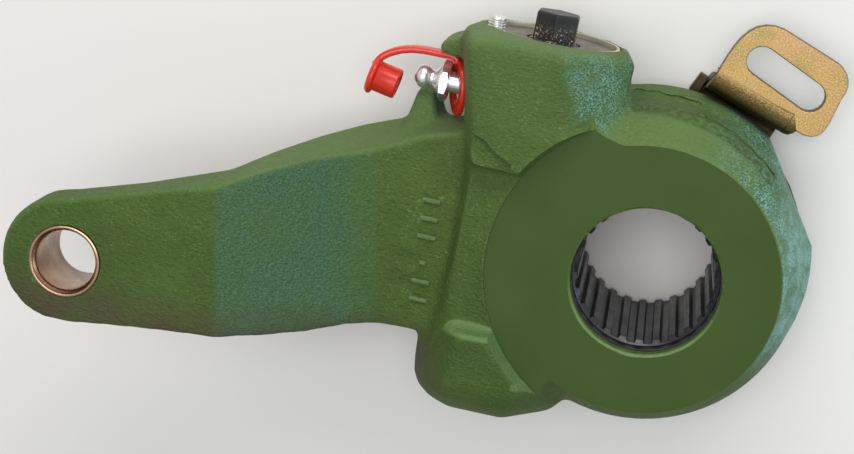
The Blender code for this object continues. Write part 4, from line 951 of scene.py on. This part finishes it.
BEND_X, BEND_Z, BEND_OUT, BEND_IN = 53.4, 13.5, 6.5, 2.5
corner = bmesh.new()
rows = []
for at_y, last in ((-12.75, 179), (-13.6, 170), (-14.5, 155), (-15.3, 135), (-16.0, 112)):
    angles = [radians(90 + (last - 90) * k / 12) for k in range(13)]
    outer = [(BEND_X + BEND_OUT * cos(a), BEND_Z + BEND_OUT * sin(a)) for a in angles]
    inner = [(BEND_X + BEND_IN * cos(a), BEND_Z + BEND_IN * sin(a)) for a in reversed(angles)]
    rows.append([corner.verts.new(Vector((a, at_y, b - 0.02)) * MM) for a, b in outer + inner])
for before, after in zip(rows, rows[1:]):
    for k in range(len(before)):
        corner.faces.new((before[k - 1], before[k], after[k], after[k - 1]))
corner.faces.new(rows[0][::-1])
corner.faces.new(rows[-1])
bmesh.ops.recalc_face_normals(corner, faces=corner.faces)
bmesh.ops.rotate(corner, matrix=Matrix.Rotation(radians(71), 3, "Z"), verts=corner.verts)
arm_corner = link("control_arm_corner", bpy.data.meshes.new("control_arm_corner"))
corner.to_mesh(arm_corner.data)
corner.free()
dressed_piece(smooth_shaded(arm_corner, 40), "control", yellow_zinc, "control_arm")

print("bush", len(bush.data.polygons), "faces")

# %% [markdown]
# ## End cover and lock screw
# The cover is a pressed plug with a thin standing rim and a dish inside it. The lock screw sits in a notch at
# the rim: a small dome with a flat on top and knurled ridges below. Both are turned shapes, drawn here with
# many more steps than the solids have, and the notch is cut out of the cover.
# %% End cover and lock screw
ON_WORM = place_along((0, 1, 0), (WORM_AXIS[0], 0, WORM_AXIS[1]))
LOCK_AXIS = (-52.8, 30.0)
ON_LOCK = place_along((0, 1, 0), (LOCK_AXIS[0], 0, LOCK_AXIS[1]))

cover = turned("end_cover_finished", [
    (17.5, 54.5), (17.75, 54.42), (17.92, 54.2), (18.0, 53.9), (18.0, 51.5), (16.8, 51.5), (16.8, 50.1), (18.0, 50.1),
    (18.0, 49.7), (7.35, 49.7), (7.35, 50.9), (8.9, 50.9), (8.9, 52.7), (7.35, 52.7), (7.35, 53.0), (7.5, 53.1),
    (16.2, 53.1), (16.7, 53.2), (16.95, 53.5), (17.0, 54.1), (17.1, 54.4), (17.3, 54.5),
], ON_WORM, 144)
lock_room = turned("lock_room", [(0, 60), (2.7, 60), (2.7, 51.9), (0, 51.9)], ON_LOCK, 48)
carve(cover, lock_room)
smooth_shaded(cover, 40)
dressed_piece(cover, "casing", cover_metal, "end_cover")

lock_profile = [(0, 57.75), (1.0, 57.72), (1.6, 57.6), (2.05, 57.35), (2.3, 57.05), (2.4, 56.75)]
for ridge in range(5):
    level = 56.3 - 0.8 * ridge
    lock_profile += [(2.3, level), (2.4, level - 0.1), (2.4, level - 0.35), (2.3, level - 0.45)]
    lock_profile += [(2.05, level - 0.6), (2.05, level - 0.8)]
lock_profile += [(2.05, 52.2), (0, 52.2)]
lock = smooth_shaded(turned("lock_screw_finished", lock_profile, ON_LOCK, 64), 35)
dressed_piece(lock, "casing", bright_zinc, "lock_screw")
print("cover", len(cover.data.polygons), "faces, lock screw", len(lock.data.polygons))

# %% [markdown]
# ## Grease nipple
# A nipple is turned from hexagon bar: a ball-shaped head for the grease gun, a thin neck, a tapered collar, the
# hexagon with its corners chamfered by the same tool, and a plain root. Hexagon and turned core are two closed
# shapes in one mesh, which is enough for a picture.
# %% Grease nipple
ON_NIPPLE = place_along((-1, 0, 0), (0, 37.2, 29.0))


def joined(name, *things):
    mesh = bmesh.new()
    for thing in things:
        mesh.from_mesh(thing.data)
        bpy.data.objects.remove(thing, do_unlink=True)
    made = bpy.data.meshes.new(name)
    mesh.to_mesh(made)
    mesh.free()
    return link(name, made)


nipple_core = turned("nipple_core", [
    (0.85, 71.8), (1.3, 71.8), (1.6, 71.72), (2.2, 71.35), (2.7, 70.9), (3.05, 70.3), (3.2, 69.7), (3.2, 69.1),
    (3.05, 68.55), (2.75, 68.05), (2.45, 67.65), (2.3, 67.3), (2.3, 66.75), (2.5, 66.45), (3.3, 65.7), (3.8, 65.05),
    (3.9, 64.85), (3.9, 62.3), (2.9, 62.3), (2.9, 52.6), (1.35, 52.6), (1.35, 70.9), (0.85, 71.4),
], ON_NIPPLE, 96)
hexagon_bar = turned("nipple_hexagon", [
    (0, 64.7), (4.85, 64.7), (5.0 / cos(pi / 6) - 0.05, 64.2), (5.0 / cos(pi / 6) - 0.05, 62.85), (4.9, 62.35), (0, 62.35),
], Matrix.Identity(4), 96)
flats_mesh = bmesh.new()
corners = [Vector((cos(radians(30 + 60 * k)), sin(radians(30 + 60 * k)), 0)) * (5.0 / cos(pi / 6)) for k in range(6)]
rings = [[flats_mesh.verts.new((corner + Vector((0, 0, height))) * MM) for corner in corners] for height in (61, 66)]
flats_mesh.faces.new(rings[0][::-1])
flats_mesh.faces.new(rings[1])
for k in range(6):
    flats_mesh.faces.new((rings[0][k - 1], rings[0][k], rings[1][k], rings[1][k - 1]))
flats = link("nipple_flats", bpy.data.meshes.new("nipple_flats"))
flats_mesh.to_mesh(flats.data)
flats_mesh.free()
carve(hexagon_bar, flats, "INTERSECT")
hexagon_bar.data.transform(ON_NIPPLE)
nipple = smooth_shaded(joined("grease_nipple_finished", nipple_core, hexagon_bar), 28)
dressed_piece(nipple, "casing", bright_zinc, "grease_nipple")
print("nipple has", len(nipple.data.polygons), "faces")

# %% [markdown]
# ## Nipple cap
# Cap, strap and ring are one moulding of soft plastic. The strap is swept with rounded corners along a smooth
# line through the solid's own strap, and its ends run into the ring and into the cap's side. A bevelled curve
# would give the same sweep, but a plain loft keeps the flat section that such straps have.
# %% Nipple cap
CAP_AT = Vector((-84.0, 34.9, 29.0))
CAP_TO = Vector((-75.9, 33.4, 29.0))
STRAP_LINE = [
    (-60.9, 42.9), (-62.4, 44.1), (-65.0, 44.2), (-68.0, 44.2), (-71.0, 44.1), (-74.0, 43.7), (-77.0, 42.8),
    (-79.6, 41.5), (-81.7, 39.8), (-83.0, 37.6),
]
STRAP_SECTION = [
    (1.0, 1.1), (0.9, 1.6), (0.5, 1.9), (-0.5, 1.9), (-0.9, 1.6), (-1.0, 1.1),
    (-1.0, -1.1), (-0.9, -1.6), (-0.5, -1.9), (0.5, -1.9), (0.9, -1.6), (1.0, -1.1),
]


def swept(name, line, section, height):
    mesh = bmesh.new()
    rows = []
    for i, point in enumerate(line):
        ahead = (line[min(i + 1, len(line) - 1)] - line[max(i - 1, 0)]).normalized()
        side = Vector((-ahead.y, ahead.x))
        rows.append([
            mesh.verts.new(Vector((point.x + side.x * a, point.y + side.y * a, height + b)) * MM) for a, b in section
        ])
    for before, after in zip(rows, rows[1:]):
        for k in range(len(section)):
            mesh.faces.new((before[k - 1], before[k], after[k], after[k - 1]))
    mesh.faces.new(rows[0][::-1])
    mesh.faces.new(rows[-1])
    bmesh.ops.recalc_face_normals(mesh, faces=mesh.faces)
    made = bpy.data.meshes.new(name)
    mesh.to_mesh(made)
    mesh.free()
    return link(name, made)


cap_long = (CAP_TO - CAP_AT).length
cap_cup = turned("cap_cup", [
    (0, 2.2), (3.2, 2.2), (3.2, cap_long - 0.5), (3.35, cap_long - 0.1), (3.6, cap_long), (3.85, cap_long - 0.05),
    (4.08, cap_long - 0.3), (4.15, cap_long - 0.6), (4.15, 2.15), (4.3, 1.95), (5.0, 1.75), (5.22, 1.5), (5.3, 1.1),
    (5.22, 0.7), (5.0, 0.4), (4.6, 0.05), (4.3, 0), (0, 0),
], place_along(CAP_TO - CAP_AT, CAP_AT), 96)
ring_section = [(8.0, 0.45), (7.85, 0.68), (7.6, 0.75), (5.0, 0.75), (4.75, 0.68), (4.6, 0.45)]
cap_ring = turned("cap_ring", ring_section + [(r, -h) for r, h in reversed(ring_section)],
                  place_along((-1, -0.15, 0.36), (-60.0, 36.4, 29.0)), 128)
strap = swept("cap_strap", between(STRAP_LINE, 6), STRAP_SECTION, 29.0)
cap = smooth_shaded(joined("nipple_cap_finished", cap_cup, cap_ring, strap), 40)
dressed_piece(cap, "cap", red_plastic, "nipple_cap")
print("cap has", len(cap.data.polygons), "faces")

# %% [markdown]
# ## Keep the size
# Dressing must not change the object's size, so both boxes are measured and the growth of each corner is printed.
# %% Size and finish
dressed_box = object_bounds()
sizes = [[list(corner) for corner in pair] for pair in (solid_box, dressed_box)]
for corner, before, after in zip(("lowest", "highest"), *sizes):
    print(corner, "grows by", [round((b - a) / MM, 2) for a, b in zip(before, after)], "mm")
